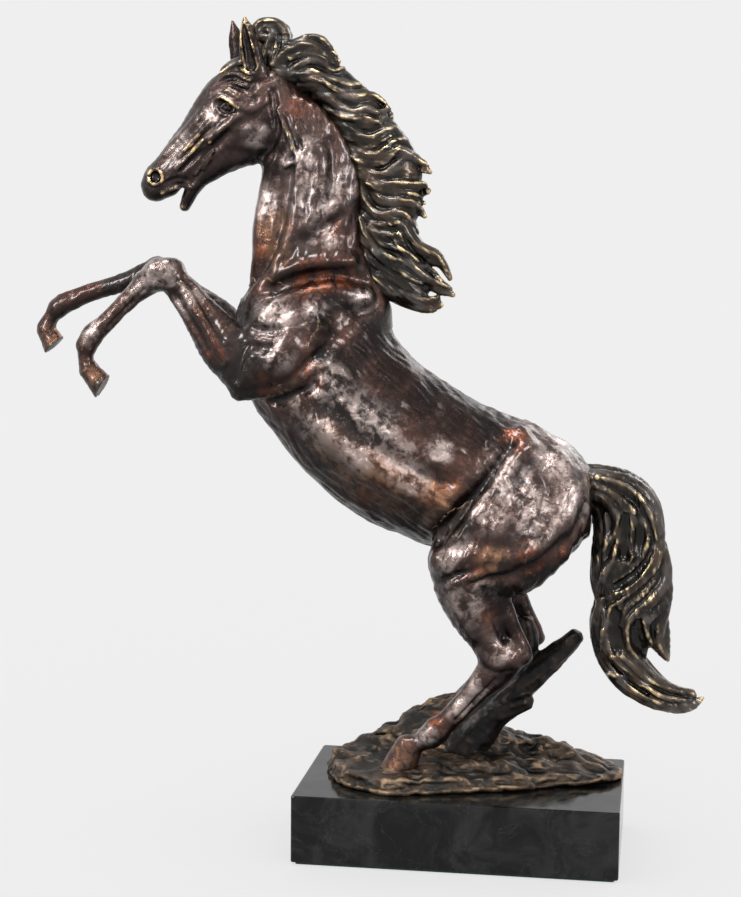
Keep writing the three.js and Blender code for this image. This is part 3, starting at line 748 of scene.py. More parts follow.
def neck_head_chase(points):
    """Upright strokes down the neck, fainter at its base, and strokes along the face to the muzzle."""
    face = share_of_face(points)
    upright = strokes(points, NECK_LEAN, 3.6, 61) * 0.9 + dents(points * (1, 1, 0.5), 9, 7) * 0.6
    upright *= np.clip((points[:, 2] - 296) / 40, 0.3, 1)
    along_face = strokes(points, FACE_LEAN, 2.2, 63) * 0.4
    return upright * (1 - face) + along_face * face + lattice_noise(points, 9, 3) * 0.3


def foreleg_chase(points):
    soft = lattice_noise(points, 9, 3) * 0.3
    return strokes(points, FORELEG_LEAN, 2.2, 71) * 0.35 + dents(points, 5, 7) * 0.3 + soft


def hind_leg_chase(points):
    """Broad scoops on the thigh that die out down the leg, under strokes that follow the bone."""
    thigh = np.clip((points[:, 2] - 110) / 50, 0, 1)
    scoops = dents(points, 11, 7) * 1.1 * thigh + dents(points, 5, 17) * 0.3
    along_bone = strokes(points, HIND_LEG_LEAN, 3.2, 81) * (0.4 + 0.6 * thigh)
    return scoops + along_bone + lattice_noise(points, 16, 3) * 0.6


def torso_grain(points):
    return strokes(points, BARREL_LEAN, 5, 53)


def neck_head_grain(points):
    face = share_of_face(points)
    return strokes(points, NECK_LEAN, 5, 65) * (1 - face) + strokes(points, FACE_LEAN, 3.2, 67) * face


def leg_grain(points):
    return strokes(points, LEG_GRAIN_LEAN, 4.5, 83)


MARGIN = 9  # the clay reaches this far beyond a casting, so that it blends with its neighbours
# Each casting's grid size, and how its surface and its patina are worked.
CASTINGS = {
    "torso": (1.0, torso_chase, torso_grain),
    "neck_head": (0.7, neck_head_chase, neck_head_grain),
    "left_foreleg": (0.75, foreleg_chase, leg_grain),
    "right_foreleg": (0.75, foreleg_chase, leg_grain),
    "left_hind_leg": (0.85, hind_leg_chase, leg_grain),
    "right_hind_leg": (0.85, hind_leg_chase, leg_grain),
}


def make_casting(name, cell, chase, grain):
    """One casting of the horse: the blended body where this part is nearer than the others."""
    node = name + "_casting"
    low, high = casting_box(node)
    clay, fields = raw_horse(low - MARGIN, high + MARGIN, cell)
    add_relief(clay)
    others = np.min([field for other, field in fields.items() if other != name], axis=0)
    own = np.maximum(clay.d, (fields[name] - others) / 2 - SEAM_LAP)
    mesh = skinned("horse_" + name, clay, own, chase, grain)
    mesh.materials.append(made("waxed_bronze", lay_bronze))
    place("horse_" + name, mesh, "horse_bronze", node)


def finish_piece(name, clay, chase, slot, lay, *nodes):
    """Meshes a piece that is alone in its clay, and names its material after its slot."""
    mesh = skinned(name, clay, clay.d, chase)
    mesh.materials.append(made(slot, lay))
    place(name, mesh, slot, *nodes)


# ---- hair ----
# A lock's thickness from its root to its tip.
LOCK_TAPER = (0.7, 0.95, 1, 0.95, 0.85, 0.65, 0.3)
MANE_CORE = [
    (-124, 2, 447, 8, 8), (-105, 2, 443, 11, 9), (-89, 2, 432, 13, 10), (-73, 2, 416, 15, 11),
    (-62, 2, 401, 16, 11), (-51, 3, 383, 18, 11), (-48, 3, 364, 17, 11), (-51, 3, 346, 15, 11),
    (-45, 3, 328, 15, 10), (-38, 2, 314, 12, 8), (-31, 2, 307, 7, 5),
]
# Locks of the mane: thickness, then (x, z) from the crest of the neck to the tip, from the poll down.
MANE_LOCKS = [
    (6.5, [(-124, 440), (-116, 449), (-107, 453), (-98, 453), (-91, 448), (-86, 443)]),
    (3.0, [(-123, 443), (-112, 455), (-103, 459), (-96, 460), (-90, 455), (-85, 449)]),
    (3.6, [(-118, 436), (-106, 443), (-97, 446), (-91, 443), (-86, 439), (-80, 441)]),
    (4.6, [(-120, 434), (-108, 437), (-98, 438), (-90, 434), (-82, 432), (-75, 430), (-69, 431)]),
    (4.2, [(-108, 430), (-96, 431), (-87, 429), (-79, 424), (-70, 423), (-62, 425), (-54, 420)]),
    (4.4, [(-97, 425), (-87, 423), (-79, 417), (-72, 414), (-65, 416), (-58, 414), (-52, 417)]),
    (4.8, [(-88, 415), (-79, 407), (-70, 402), (-63, 398), (-55, 402), (-47, 405)]),
    (3.6, [(-86, 411), (-77, 411), (-68, 408), (-60, 408), (-53, 412)]),
    (4.6, [(-80, 403), (-72, 393), (-62, 388), (-54, 391), (-48, 396), (-42, 398)]),
    (4.8, [(-76, 395), (-70, 385), (-62, 378), (-54, 377), (-47, 382), (-40, 388)]),
    (4.0, [(-58, 384), (-49, 390), (-41, 390), (-34, 386), (-28, 383)]),
    (5.4, [(-71, 388), (-67, 378), (-58, 371), (-48, 371), (-38, 371), (-29, 371)]),
    (4.6, [(-68, 375), (-61, 367), (-53, 361), (-44, 361), (-36, 360), (-31, 356)]),
    (4.6, [(-68, 371), (-65, 361), (-57, 352), (-48, 354), (-41, 353), (-36, 346)]),
    (3.4, [(-69, 358), (-65, 349), (-58, 342), (-50, 340), (-43, 341)]),
    (5.0, [(-69, 350), (-66, 342), (-61, 334), (-52, 327), (-42, 324), (-34, 318)]),
    (4.8, [(-50, 350), (-41, 345), (-36, 336), (-29, 331), (-21, 328), (-15, 318)]),
    (4.2, [(-68, 338), (-62, 325), (-53, 318), (-42, 312), (-33, 307), (-27, 303)]),
    (5.0, [(-65, 326), (-61, 315), (-50, 308), (-38, 303), (-28, 300), (-20, 302)]),
    (4.0, [(-46, 336), (-37, 324), (-29, 316), (-20, 311), (-13, 308)]),
]
# The hair between the ears: a mass behind them and wisps that fall on the forehead.
POLL_HAIR = [
    [(-118, 0, 440, 8, 8), (-124, 0, 450, 7, 8), (-126, 0, 459, 6, 7)],
    [(-126, 0, 448, 6, 6), (-138, 0, 447, 5, 6), (-150, 0, 443, 4, 6), (-160, 0, 436, 2, 4)],
]
# Finer strands that run over the locks.
MANE_STRANDS = [
    (1.8, [(-112, 447), (-103, 450), (-95, 449), (-89, 445)]),
    (1.8, [(-105, 434), (-94, 434), (-84, 429), (-74, 427), (-66, 428)]),
    (1.6, [(-92, 419), (-82, 413), (-72, 411), (-64, 411), (-56, 408)]),
    (1.8, [(-82, 400), (-73, 398), (-65, 393), (-57, 396), (-50, 400)]),
    (1.6, [(-74, 388), (-66, 384), (-57, 383), (-50, 387), (-44, 394)]),
    (1.8, [(-64, 372), (-55, 367), (-46, 366), (-38, 366), (-31, 364)]),
    (1.6, [(-66, 352), (-59, 347), (-51, 347), (-44, 348)]),
    (1.8, [(-63, 345), (-56, 336), (-48, 333), (-40, 331), (-33, 325)]),
    (1.8, [(-60, 330), (-53, 323), (-45, 319), (-37, 314), (-30, 311)]),
    (1.8, [(-56, 316), (-47, 312), (-39, 308), (-31, 305)]),
    (1.6, [(-44, 341), (-38, 331), (-31, 323), (-24, 319), (-18, 313)]),
]
FORELOCK = [
    (3.4, [(-118, 446), (-116, 456), (-117, 464), (-123, 468.5), (-131, 468), (-134, 463), (-129, 459),
           (-122, 461)]),
    (2.8, [(-123, 445), (-121, 454), (-121, 461), (-125, 465), (-130, 464), (-131, 461), (-127, 459)]),
    (2.4, [(-130, 444), (-128, 451), (-126, 456), (-123, 460), (-126, 463)]),
]
TAIL_CORE = [
    (56, 0, 189, 8, 8), (72, 0, 190, 9, 8), (84, 0, 186, 11, 10), (97, 0, 175, 18, 13),
    (102, 0, 157, 20, 14), (102, 0, 138, 21, 15), (103, 0, 118, 21, 14), (100, 0, 100, 18, 13),
    (99, 0, 84, 14, 12), (106, 0, 69, 11, 10), (119, 0, 58, 8, 8), (132, 0, 53, 6, 5.5),
    (142, 0, 54, 3.5, 3.5), (148, 0, 58, 1.2, 1.5),
]
TAIL_TUFT = [(110, 2, 118, 14, 9), (117, 3, 102, 10, 8), (123, 3, 89, 4.5, 5), (126, 3, 80, 1.2, 1.5)]
# Locks of the tail: they wrap across each other at the waist and sweep out to the tip.
TAIL_LOCKS = [
    (5.0, [(62, 195), (79, 195), (97, 192), (109, 185), (116, 174), (119, 160), (120, 146)]),
    (5.5, [(66, 194), (85, 192), (101, 185), (112, 174), (117, 160), (116, 147), (109, 135), (97, 125),
           (86, 118)]),
    (4.0, [(78, 190), (92, 184), (103, 174), (109, 163), (110, 152), (105, 141)]),
    (4.2, [(72, 189), (86, 186), (96, 177), (101, 166), (103, 154), (102, 142), (96, 131)]),
    (4.0, [(70, 185), (82, 183), (91, 176), (94, 166), (90, 158), (84, 150)]),
    (4.5, [(73, 180), (80, 174), (84, 164), (83, 152), (82, 139), (82, 127), (84, 115), (88, 105),
           (88, 95)]),
    (4.0, [(92, 176), (96, 165), (95, 153), (90, 142), (85, 132), (82, 122)]),
    (5.0, [(121, 150), (123, 137), (120, 126), (111, 117), (102, 107), (101, 95), (107, 83), (115, 73),
           (127, 63)]),
    (5.0, [(122, 138), (123, 124), (121, 110), (119, 99), (121, 89), (125, 82)]),
    (3.6, [(124, 126), (121, 116), (112, 108), (104, 99), (101, 89)]),
    (3.4, [(113, 114), (111, 104), (114, 94), (119, 87)]),
    (5.0, [(85, 118), (83, 106), (83, 94), (87, 82), (94, 71), (104, 62), (116, 56), (128, 52), (138, 53)]),
    (4.4, [(90, 112), (88, 100), (90, 89), (97, 79), (106, 69), (118, 61), (130, 56), (141, 56)]),
    (4.0, [(84, 90), (94, 86), (104, 79), (113, 70), (123, 64), (134, 60), (143, 59)]),
    (4.0, [(97, 118), (94, 106), (94, 95), (98, 85), (106, 75), (116, 67)]),
]
TAIL_STRANDS = [
    (1.8, [(80, 195), (96, 191), (108, 182), (114, 170), (117, 158)]),
    (1.6, [(112, 158), (109, 147), (101, 138), (92, 131)]),
    (1.8, [(119, 150), (117, 141), (108, 130), (98, 121), (90, 115)]),
    (1.6, [(86, 172), (87, 160), (86, 148), (85, 136)]),
    (1.6, [(116, 132), (108, 122), (100, 114), (97, 104)]),
    (1.8, [(86, 100), (86, 88), (92, 76), (101, 66), (112, 59), (124, 55)]),
    (1.8, [(92, 84), (102, 74), (113, 65), (125, 59), (137, 57)]),
    (1.6, [(90, 72), (100, 71), (110, 67)]),
]
# Hollows between the tail's locks.
TAIL_HOLLOWS = [
    [(111, 150), (105, 140), (95, 130)],
    [(98, 172), (98, 160), (97, 148)],
    [(106, 172), (107, 162), (106, 152)],
    [(94, 112), (93, 100), (95, 90)],
    [(107, 106), (107, 96), (112, 87)],
    [(92, 78), (101, 70), (112, 62)],
]


def resampled(points, count):
    """The same line with its points spread evenly."""
    rows = smooth_rows(points, 6)
    return rows[np.linspace(0, len(rows) - 1, count).round().astype(int)]


def comb(clay, lines, side, crest, shift=(0, 0)):
    """Lays locks over a core, each a broad body under a narrow crest. Side 0 is the middle plane."""
    core = copy.copy(clay)
    core.d = clay.d.copy()
    for body, points in lines:
        rows = resampled(points, len(LOCK_TAPER)) + shift
        outs = [(side and core.face(x, z, side)) or 0 for x, z in rows]
        lock, edge = [], []
        for (x, z), out, taper in zip(rows, outs, LOCK_TAPER):
            lock.append((x, side * max(out - 0.4 * body, 0), z, body * taper, body * taper * 0.9))
            top = side * (out + (0.5 * taper - 0.1) * body)
            edge.append((x, top, z + 0.3 * body, crest * taper, crest))
        clay.add(lock, 1.0)
        if side and crest:
            clay.add(edge, 3.0)


def hollow(clay, lines, side, radius, depth):
    """Sinks tapering hollows into one side of the hair."""
    for points in lines:
        rows = resampled(points, len(LOCK_TAPER))
        outs = [clay.face(x, z, side) or 0 for x, z in rows]
        sizes = [radius * (0.3 + 0.7 * taper) for taper in LOCK_TAPER[::-1]]
        clay.carve([(x, side * (out + size * 0.9 - depth), z, size, size)
                    for (x, z), out, size in zip(rows, outs, sizes)], 3.0)


def hair_clay(node, core):
    low, high = casting_box(node)
    clay = Clay(low - 14, high + 6, HAIR_CELL)
    clay.add(core, 0)
    return clay


def hair_chase(points, high_lean, low_lean, middle):
    """Strands that lean one way high on the piece and another way low on it, changing over 60 mm."""
    low = np.clip((middle + 30 - points[:, 2]) / 60, 0, 1)
    high_strands, low_strands = (strokes(points, lean, 1.9, 91, 7) for lean in (high_lean, low_lean))
    return (high_strands * (1 - low) + low_strands * low) * 0.5 + lattice_noise(points, 5, 3) * 0.25


def mane_chase(points):
    return hair_chase(points, -6, -38, 370)


def tail_chase(points):
    return hair_chase(points, -82, -38, 90)


def make_mane():
    """The mane: locks on both sides and along the crest, the hair between the ears and the forelock."""
    clay = hair_clay("mane_casting", MANE_CORE)
    comb(clay, MANE_LOCKS, 0, 0)
    for side, shift in ((LEFT, (0, 0)), (RIGHT, (2, -4))):
        comb(clay, MANE_LOCKS, side, 0.5, shift)
        comb(clay, MANE_STRANDS, side, 0.4, shift)
    for wisp in POLL_HAIR:
        clay.add(wisp, 1.5)
    # Each curl lies on the left, in the middle and on the right, with a thin strand over it.
    for side in (LEFT, 0, RIGHT):
        for radius, curl in FORELOCK:
            clay.add([(x, side * 5, z, radius, radius) for x, z in curl], 1.0)
            clay.add([(x, side * 7.5, z + 1.2, 1.1, 1.1) for x, z in curl], 0.6)
    finish_piece("horse_mane", clay, mane_chase, "hair_bronze", lay_hair_bronze, "mane_casting")


def make_tail():
    """The tail: locks over one twisted core, with a tuft that stands away at its waist."""
    clay = hair_clay("tail_casting", TAIL_CORE)
    clay.add(TAIL_TUFT, 4)
    comb(clay, [TAIL_LOCKS[number] for number in (0, 7, 8, 11)], 0, 0)
    for side, shift in ((LEFT, (0, 0)), (RIGHT, (-1, 2))):
        comb(clay, TAIL_LOCKS, side, 0.5, shift)
        hollow(clay, TAIL_HOLLOWS, side, 4.5, 3.0)
        comb(clay, TAIL_STRANDS, side, 0.4, shift)
    finish_piece("horse_tail", clay, tail_chase, "hair_bronze", lay_hair_bronze, "tail_casting")


# ---- the rock ground and the stump ----
# The rock's edge on the plinth, from its left end round the front.
ROCK_EDGE = [
    (-87, 10), (-83, -7), (-75, -26), (-62, -41), (-40, -49), (-20, -43), (8, -35), (32, -26), (58, -13),
    (84, -2), (97, 14), (91, 36), (66, 46), (24, 49), (-24, 49), (-62, 41), (-81, 28),
]
ROCK_OUTLINE = smooth_rows(ROCK_EDGE + ROCK_EDGE[:1], 4)
# Spots on the rock (x, y, height). The mound behind the left hind leg buries the right hoof.
ROCK_SPOTS = [
    (-80, -10, 9), (-68, -28, 10), (-50, -42, 10), (-25, -40, 11), (0, -32, 9), (25, -26, 8), (45, -14, 7),
    (65, -7, 6), (85, 3, 5), (95, 18, 3), (-76, 4, 13), (-58, -12, 13), (-38, -28, 12), (-20, -22, 15),
    (0, -14, 16), (22, -6, 14), (42, 4, 12), (62, 8, 10), (80, 18, 7), (-78, 18, 11), (-64, 20, 19),
    (-50, 22, 26), (-34, 22, 36), (-19, 20, 44), (-6, 18, 48), (8, 14, 38), (18, 14, 28), (30, 20, 24),
    (46, 22, 21), (60, 22, 17), (76, 24, 10), (-70, 34, 9), (-45, 40, 14), (-20, 42, 20), (5, 42, 18),
    (35, 42, 13), (62, 38, 9), (85, 32, 4),
]
# The stump's limbs, with the same sections as the horse's masses.
STUMP = {
    "trunk": [(-2, 6, 14, 16, 14), (13, 8, 36, 12, 11), (30, 10, 55, 10, 9), (48, 12, 71, 8, 8),
              (60, 13, 82, 5.5, 5.5), (69, 13, 91, 4, 4)],
    "knob": [(20, 6, 42, 9, 8), (31, 4, 47, 6.5, 6.5), (38, 4, 50, 5.5, 5.5)],
    "prop": [(32, 10, 58, 9, 8), (36, 13, 76, 8, 7), (40, 14, 88, 5, 5), (38, 14, 98, 4, 4)],
    "bump": [(50, 12, 76, 5, 5), (56, 12, 84, 3, 3)],
}


def rock_height(x, y):
    """How high the rock stands over points of the plinth, from the spots near them."""
    total = weights = 0
    for spot_x, spot_y, height in ROCK_SPOTS:
        weight = 1 / (((x - spot_x) ** 2 + (y - spot_y) ** 2) ** 2 + 40)
        total = total + weight * height
        weights = weights + weight
    return total / weights


def edge_distance(x, y, corners):
    """Distance from points of the plinth to a closed outline, negative inside it."""
    nearest = np.full(np.broadcast(x, y).shape, 1e6)
    inside = np.zeros(nearest.shape, bool)
    for (ax, ay), (bx, by) in zip(corners, np.roll(corners, -1, axis=0)):
        length_sq = (bx - ax) ** 2 + (by - ay) ** 2
        t = np.clip(((x - ax) * (bx - ax) + (y - ay) * (by - ay)) / max(length_sq, 1e-9), 0, 1)
        nearest = np.minimum(nearest, (x - ax - t * (bx - ax)) ** 2 + (y - ay - t * (by - ay)) ** 2)
        crosses = ((ay > y) != (by > y)) & (x < ax + (y - ay) * (bx - ax) / (by - ay + 1e-12))
        inside ^= crosses
    return np.where(inside, -1, 1) * np.sqrt(nearest)


def rock_folds(clay, random):
    """Ridges and clefts that run along the rock, like clay pushed by hand."""
    for number in range(150):
        x, y = random.uniform(-86, 96), random.uniform(-48, 46)
        if edge_distance(np.array([x]), np.array([y]), ROCK_OUTLINE)[0] > -12:
            continue
        turn = random.normal(0, 0.25) + 0.35 * math.sin(x / 30)
        length, radius = random.uniform(12, 40), random.uniform(1.0, 2.6)
        rows = []
        for t in np.linspace(-0.5, 0.5, 6):
            px = x + t * length * math.cos(turn)
            py = y + t * length * math.sin(turn) + random.normal(0, 1.0)
            height = float(rock_height(px, py))
            swell = radius * (1 - 1.6 * t * t)
            rows.append((px, py, height - 0.25 * radius, swell, swell * 1.3))
        if number % 3:
            clay.add(rows, 2.5)
        else:
            clay.carve([(*row[:2], row[2] + 0.4 * radius, row[3] * 0.7, row[4] * 0.7) for row in rows], 1.5)


def rock_ledges(clay, random):
    """Ledges along the rock's edge."""
    middle = np.array([4, 4])
    for height, inset, radius in ((2.0, 0.2, 2.2), (5.0, 1.6, 1.8), (8.0, 3.0, 2.0)):
        for start in range(0, len(ROCK_OUTLINE) - 8, 5):
            part = ROCK_OUTLINE[start : start + random.integers(6, 10)]
            rows = []
            for corner in part:
                spot = middle + (corner - middle) * (1 - inset / np.linalg.norm(corner - middle))
                rise = min(height + random.normal(0, 0.6), float(rock_height(*spot)) - 1)
                rows.append((*spot, rise, radius * 0.7, radius))
            clay.add(rows, 1.5)


def rock_chase(points):
    """Clefts and finer folds along the rock, none of them at its foot."""
    along = points * (0.45, 1, 1)
    folds = (0.5 - np.abs(lattice_noise(along, 6, 31))) * 1.6
    folds += (0.4 - np.abs(lattice_noise(along, 2.8, 33))) * 0.7
    grounded = np.clip(points[:, 2] / 3, 0, 1)
    return (folds + lattice_noise(points, 14, 35) * 0.8) * grounded


def bark_chase(points):
    return lattice_noise(points, 8, 41) * 0.6 + lattice_noise(points, 3, 43) * 0.25


def make_ground():
    """The rock: its heights, cut off at its edge, then ledges and folds."""
    low, high = casting_box("ground_casting") + np.array([(-3, -3, -3), (3, 3, 8)])
    clay = Clay(low, high, ROCK_CELL)
    _, (x, y, z) = clay.window(low, high)
    x, y, z = x[: clay.shape[0]], y[:, : clay.shape[1]], z[:, :, : clay.shape[2]]
    top = (z - rock_height(x, y)) * 0.8
    edge = edge_distance(x, y, ROCK_OUTLINE) + 0.25 * np.maximum(z - 3, 0)
    clay.d = (-melt(-top, -edge, 7)).astype(np.float32)
    random = np.random.default_rng(12)
    rock_ledges(clay, random)
    rock_folds(clay, random)
    clay.d = np.maximum(clay.d, 0.1 - z)
    finish_piece("rock_ground", clay, rock_chase, "ground_bronze", lay_ground_bronze, "ground_casting")


def make_stump():
    """The stump's limbs, with strips of bark that wind up them."""
    low, high = casting_box("stump_casting")
    clay = Clay(low - 4, high + 4, STUMP_CELL)
    for stations in STUMP.values():
        clay.add(stations, 3)
    for part, count in (("trunk", 9), ("knob", 5), ("prop", 6)):
        for turn in np.arange(count) * 2 * math.pi / count:
            rows = []
            for n, (x, y, z, high_half, wide) in enumerate(STUMP[part]):
                twist = turn + 0.25 * n
                out = 0.6 * math.sin(twist) * high_half
                across = 0.85 * math.cos(twist) * wide
                rows.append((x - out, y + across, z + out, 1.5, 1.5))
            clay.add(rows, 2.5)
    mesh = skinned("tree_stump", clay, clay.d, bark_chase)
    mesh.materials.append(made("charred_bark", lay_bark))
    place("tree_stump", mesh, "ground_bronze", "stump_casting")


# ---- materials ----
class Nodes:
    """Short ways to lay out a material."""

    def __init__(self, name):
        self.material = bpy.data.materials.new(name)
        self.material.use_nodes = True
        self.tree = self.material.node_tree
        self.shader = self.tree.nodes["Principled BSDF"]
        self.where = self.new("ShaderNodeTexCoord").outputs["Object"]

    def new(self, kind, **settings):
        node = self.tree.nodes.new(kind)
        for key, value in settings.items():
            setattr(node, key, value)
        return node

    def link(self, source, target):
        if isinstance(source, (int, float, tuple)):
            target.default_value = source
        else:
            self.tree.links.new(source, target)

    def attribute(self, name):
        return self.new("ShaderNodeAttribute", attribute_name=name).outputs["Fac"]

    def noise(self, size_mm, detail=3.0, rough=0.5, distortion=0.0):
        node = self.new("ShaderNodeTexNoise")
        self.link(self.where, node.inputs["Vector"])
        node.inputs["Scale"].default_value = 1 / (size_mm * MM)
        node.inputs["Detail"].default_value = detail
        node.inputs["Roughness"].default_value = rough
        node.inputs["Distortion"].default_value = distortion
        return node.outputs["Fac"]

    def math(self, operation, a, b=0.0):
        node = self.new("ShaderNodeMath", operation=operation)
        self.link(a, node.inputs[0])
        self.link(b, node.inputs[1])
        return node.outputs[0]

    def ramp(self, value, low, high, to_low=0.0, to_high=1.0):
        """A smooth step from `to_low` to `to_high` while the value goes from `low` to `high`."""
        node = self.new("ShaderNodeMapRange", interpolation_type="SMOOTHSTEP")
        for index, number in enumerate((value, low, high, to_low, to_high)):
            self.link(number, node.inputs[index])
        return node.outputs[0]

    def mix(self, amount, a, b):
        node = self.new("ShaderNodeMix", data_type="RGBA")
        self.link(amount, node.inputs["Factor"])
        self.link(a, node.inputs["A"])
        self.link(b, node.inputs["B"])
        return node.outputs["Result"]

    def bump(self, height, distance_mm, strength=1.0):
        node = self.new("ShaderNodeBump")
        node.inputs["Strength"].default_value = strength
        node.inputs["Distance"].default_value = distance_mm * MM
        self.link(height, node.inputs["Height"])
        self.link(node.outputs[0], self.shader.inputs["Normal"])


def rgb(red, green, blue):
    return (red, green, blue, 1.0)


MADE = {}


def made(name, make):
    """Makes a material once."""
    if name not in MADE:
        MADE[name] = make(Nodes(name))
    return MADE[name]


def lay_bronze(n):
    """Waxed dark brown patina with rust and copper patches and gold where ridges are rubbed bare; the pale
    brushed streaks, the mauve tint and the belly's copper are painted highlights, and hollows, creases and
    undersides carry painted shade.
    """
    fine, broad, under, dark = (n.attribute(name) for name in ("fine", "broad", "under", "dark"))
    base = n.mix(n.ramp(n.noise(26, 4), 0.4, 0.6), rgb(0.014, 0.008, 0.006), rgb(0.052, 0.020, 0.013))
    # Painted sheen: a lighter mauve-grey tone for the broad soft reflection on the neck, head and thigh.
    base = n.mix(n.math("MULTIPLY", n.attribute("mauve_sheen"), 0.7), base, rgb(0.070, 0.043, 0.038))
    # Dark patina on the back and loin, and painted shade in the eye, the ears, the creases and the neck's
    # base.
    base = n.mix(n.math("MULTIPLY", dark, 0.9), base, rgb(0.010, 0.006, 0.005))
    rust = n.math("MULTIPLY", n.attribute("rust"), n.ramp(n.noise(7, 5, 0.6, 1.0), 0.38, 0.6, 0.0, 0.8))
    base = n.mix(rust, base, rgb(0.15, 0.036, 0.011))
    brush = n.math("ADD", n.attribute("grain"), n.ramp(n.noise(6, 5, 0.65, 0.4), 0.3, 0.7, -0.7, 0.7))
    highlight_streaks = n.ramp(brush, -0.6, 0.8, 0.0, 0.95)
    # Copper-brown at the hooves; on the belly it is a painted warm highlight.
    copper_and_highlight = n.math("MULTIPLY", n.attribute("copper_and_highlight"), n.ramp(brush, -0.5, 0.5, 0.1, 0.7))
    base = n.mix(copper_and_highlight, base, rgb(0.28, 0.14, 0.075))
    # Painted highlights: pale brushed streaks inside the pale spots.
    base = n.mix(n.math("MULTIPLY", n.attribute("pale"), highlight_streaks), base, rgb(0.40, 0.32, 0.295))
    base = n.mix(n.ramp(brush, -0.9, -0.2, 0.5, 0.0), base, rgb(0.012, 0.007, 0.006))
    # Painted shade: broad hollows darkened to near black.
    base = n.mix(n.ramp(broad, -1.5, 0.0, 0.95, 0.0), base, rgb(0.004, 0.003, 0.003))
    # Painted shade on the undersides.
    base = n.mix(n.math("MULTIPLY", under, 0.9), base, rgb(0.005, 0.003, 0.003))
    worn = n.math("MULTIPLY", n.ramp(fine, 0.14, 0.36), n.ramp(n.noise(7, 3), 0.42, 0.62))
    shown = n.math("MAXIMUM", n.attribute("gilt"), 0.08)
    base = n.mix(n.math("MULTIPLY", worn, shown), base, rgb(0.66, 0.46, 0.24))
    n.link(base, n.shader.inputs["Base Color"])
    n.shader.inputs["Metallic"].default_value = 0.85
    n.link(n.ramp(n.noise(8, 5, 0.6), 0.3, 0.7, 0.22, 0.44), n.shader.inputs["Roughness"])
    # Painted shade dims the coat too: less sheen on the undersides and the dark spots.
    shade_and_dark_patina = n.math("MAXIMUM", under, dark)
    n.link(n.ramp(shade_and_dark_patina, 0.0, 1.0, 0.5, 0.1), n.shader.inputs["Coat Weight"])
    n.shader.inputs["Coat Roughness"].default_value = 0.18
    brushed = n.math("ADD", n.noise(3.0, 6, 0.62, 0.4), n.math("MULTIPLY", n.noise(8, 3, 0.5, 0.4), 1.5))
    n.bump(brushed, 0.7, 0.8)
    return n.material


def lay_hair_bronze(n):
    """Near-black olive bronze, brushed back to pale gold along the tops of the locks; painted shade fills
    the valleys and a painted highlight lies along the broad tops of the locks.
    """
    fine, broad = n.attribute("fine"), n.attribute("broad")
    base = n.mix(n.ramp(n.noise(22, 4), 0.4, 0.62), rgb(0.014, 0.011, 0.008), rgb(0.058, 0.038, 0.026))
    base = n.mix(n.ramp(n.noise(13, 3), 0.5, 0.62), base, rgb(0.085, 0.072, 0.066))
    # Painted shade: valleys between the locks darkened to near black.
    base = n.mix(n.ramp(broad, -0.9, 0.6, 0.97, 0.0), base, rgb(0.003, 0.003, 0.002))
    # Painted highlight along the broad tops of the locks.
    base = n.mix(n.ramp(broad, 0.4, 1.6, 0.0, 0.65), base, rgb(0.23, 0.165, 0.11))
    worn = n.math("MULTIPLY", n.ramp(fine, 0.2, 0.5), n.ramp(n.noise(12, 3), 0.42, 0.6, 0.08, 1.0))
    base = n.mix(worn, base, rgb(0.62, 0.48, 0.27))
    n.link(base, n.shader.inputs["Base Color"])
    n.shader.inputs["Metallic"].default_value = 0.85
    n.link(n.ramp(n.noise(9, 4), 0.3, 0.7, 0.26, 0.46), n.shader.inputs["Roughness"])
    n.shader.inputs["Coat Weight"].default_value = 0.3
    n.shader.inputs["Coat Roughness"].default_value = 0.2
    n.bump(n.noise(1.8, 4, 0.6), 0.3, 0.6)
    return n.material


def lay_ground_bronze(n):
    """Rough brown-black bronze with tan ridges and a little rust, and painted shade in its clefts and
    undersides.
    """
    fine, broad = n.attribute("fine"), n.attribute("broad")
    base = n.mix(n.ramp(n.noise(16, 4), 0.42, 0.6), rgb(0.012, 0.010, 0.008), rgb(0.050, 0.032, 0.020))
    rust = n.math("MULTIPLY", n.attribute("rust"), n.ramp(n.noise(9, 3), 0.4, 0.6))
    base = n.mix(n.math("MULTIPLY", rust, 0.6), base, rgb(0.12, 0.035, 0.015))
    # Painted shade: clefts darkened to near black.
    base = n.mix(n.ramp(broad, -1.2, 0.1, 0.95, 0.0), base, rgb(0.004, 0.004, 0.003))
    # Painted shade on the undersides.
    base = n.mix(n.math("MULTIPLY", n.attribute("under"), 0.8), base, rgb(0.005, 0.004, 0.004))
    worn = n.math("MULTIPLY", n.ramp(fine, 0.12, 0.45), n.ramp(n.noise(10, 3), 0.42, 0.6, 0.1, 0.7))
    base = n.mix(worn, base, rgb(0.30, 0.20, 0.12))
    n.link(base, n.shader.inputs["Base Color"])
    n.shader.inputs["Metallic"].default_value = 0.8
    n.link(n.ramp(n.noise(7, 4), 0.3, 0.7, 0.36, 0.6), n.shader.inputs["Roughness"])
    n.shader.inputs["Coat Weight"].default_value = 0.15
    n.shader.inputs["Coat Roughness"].default_value = 0.3
    n.bump(n.noise(1.6, 5, 0.65), 0.5, 0.9)
    return n.material


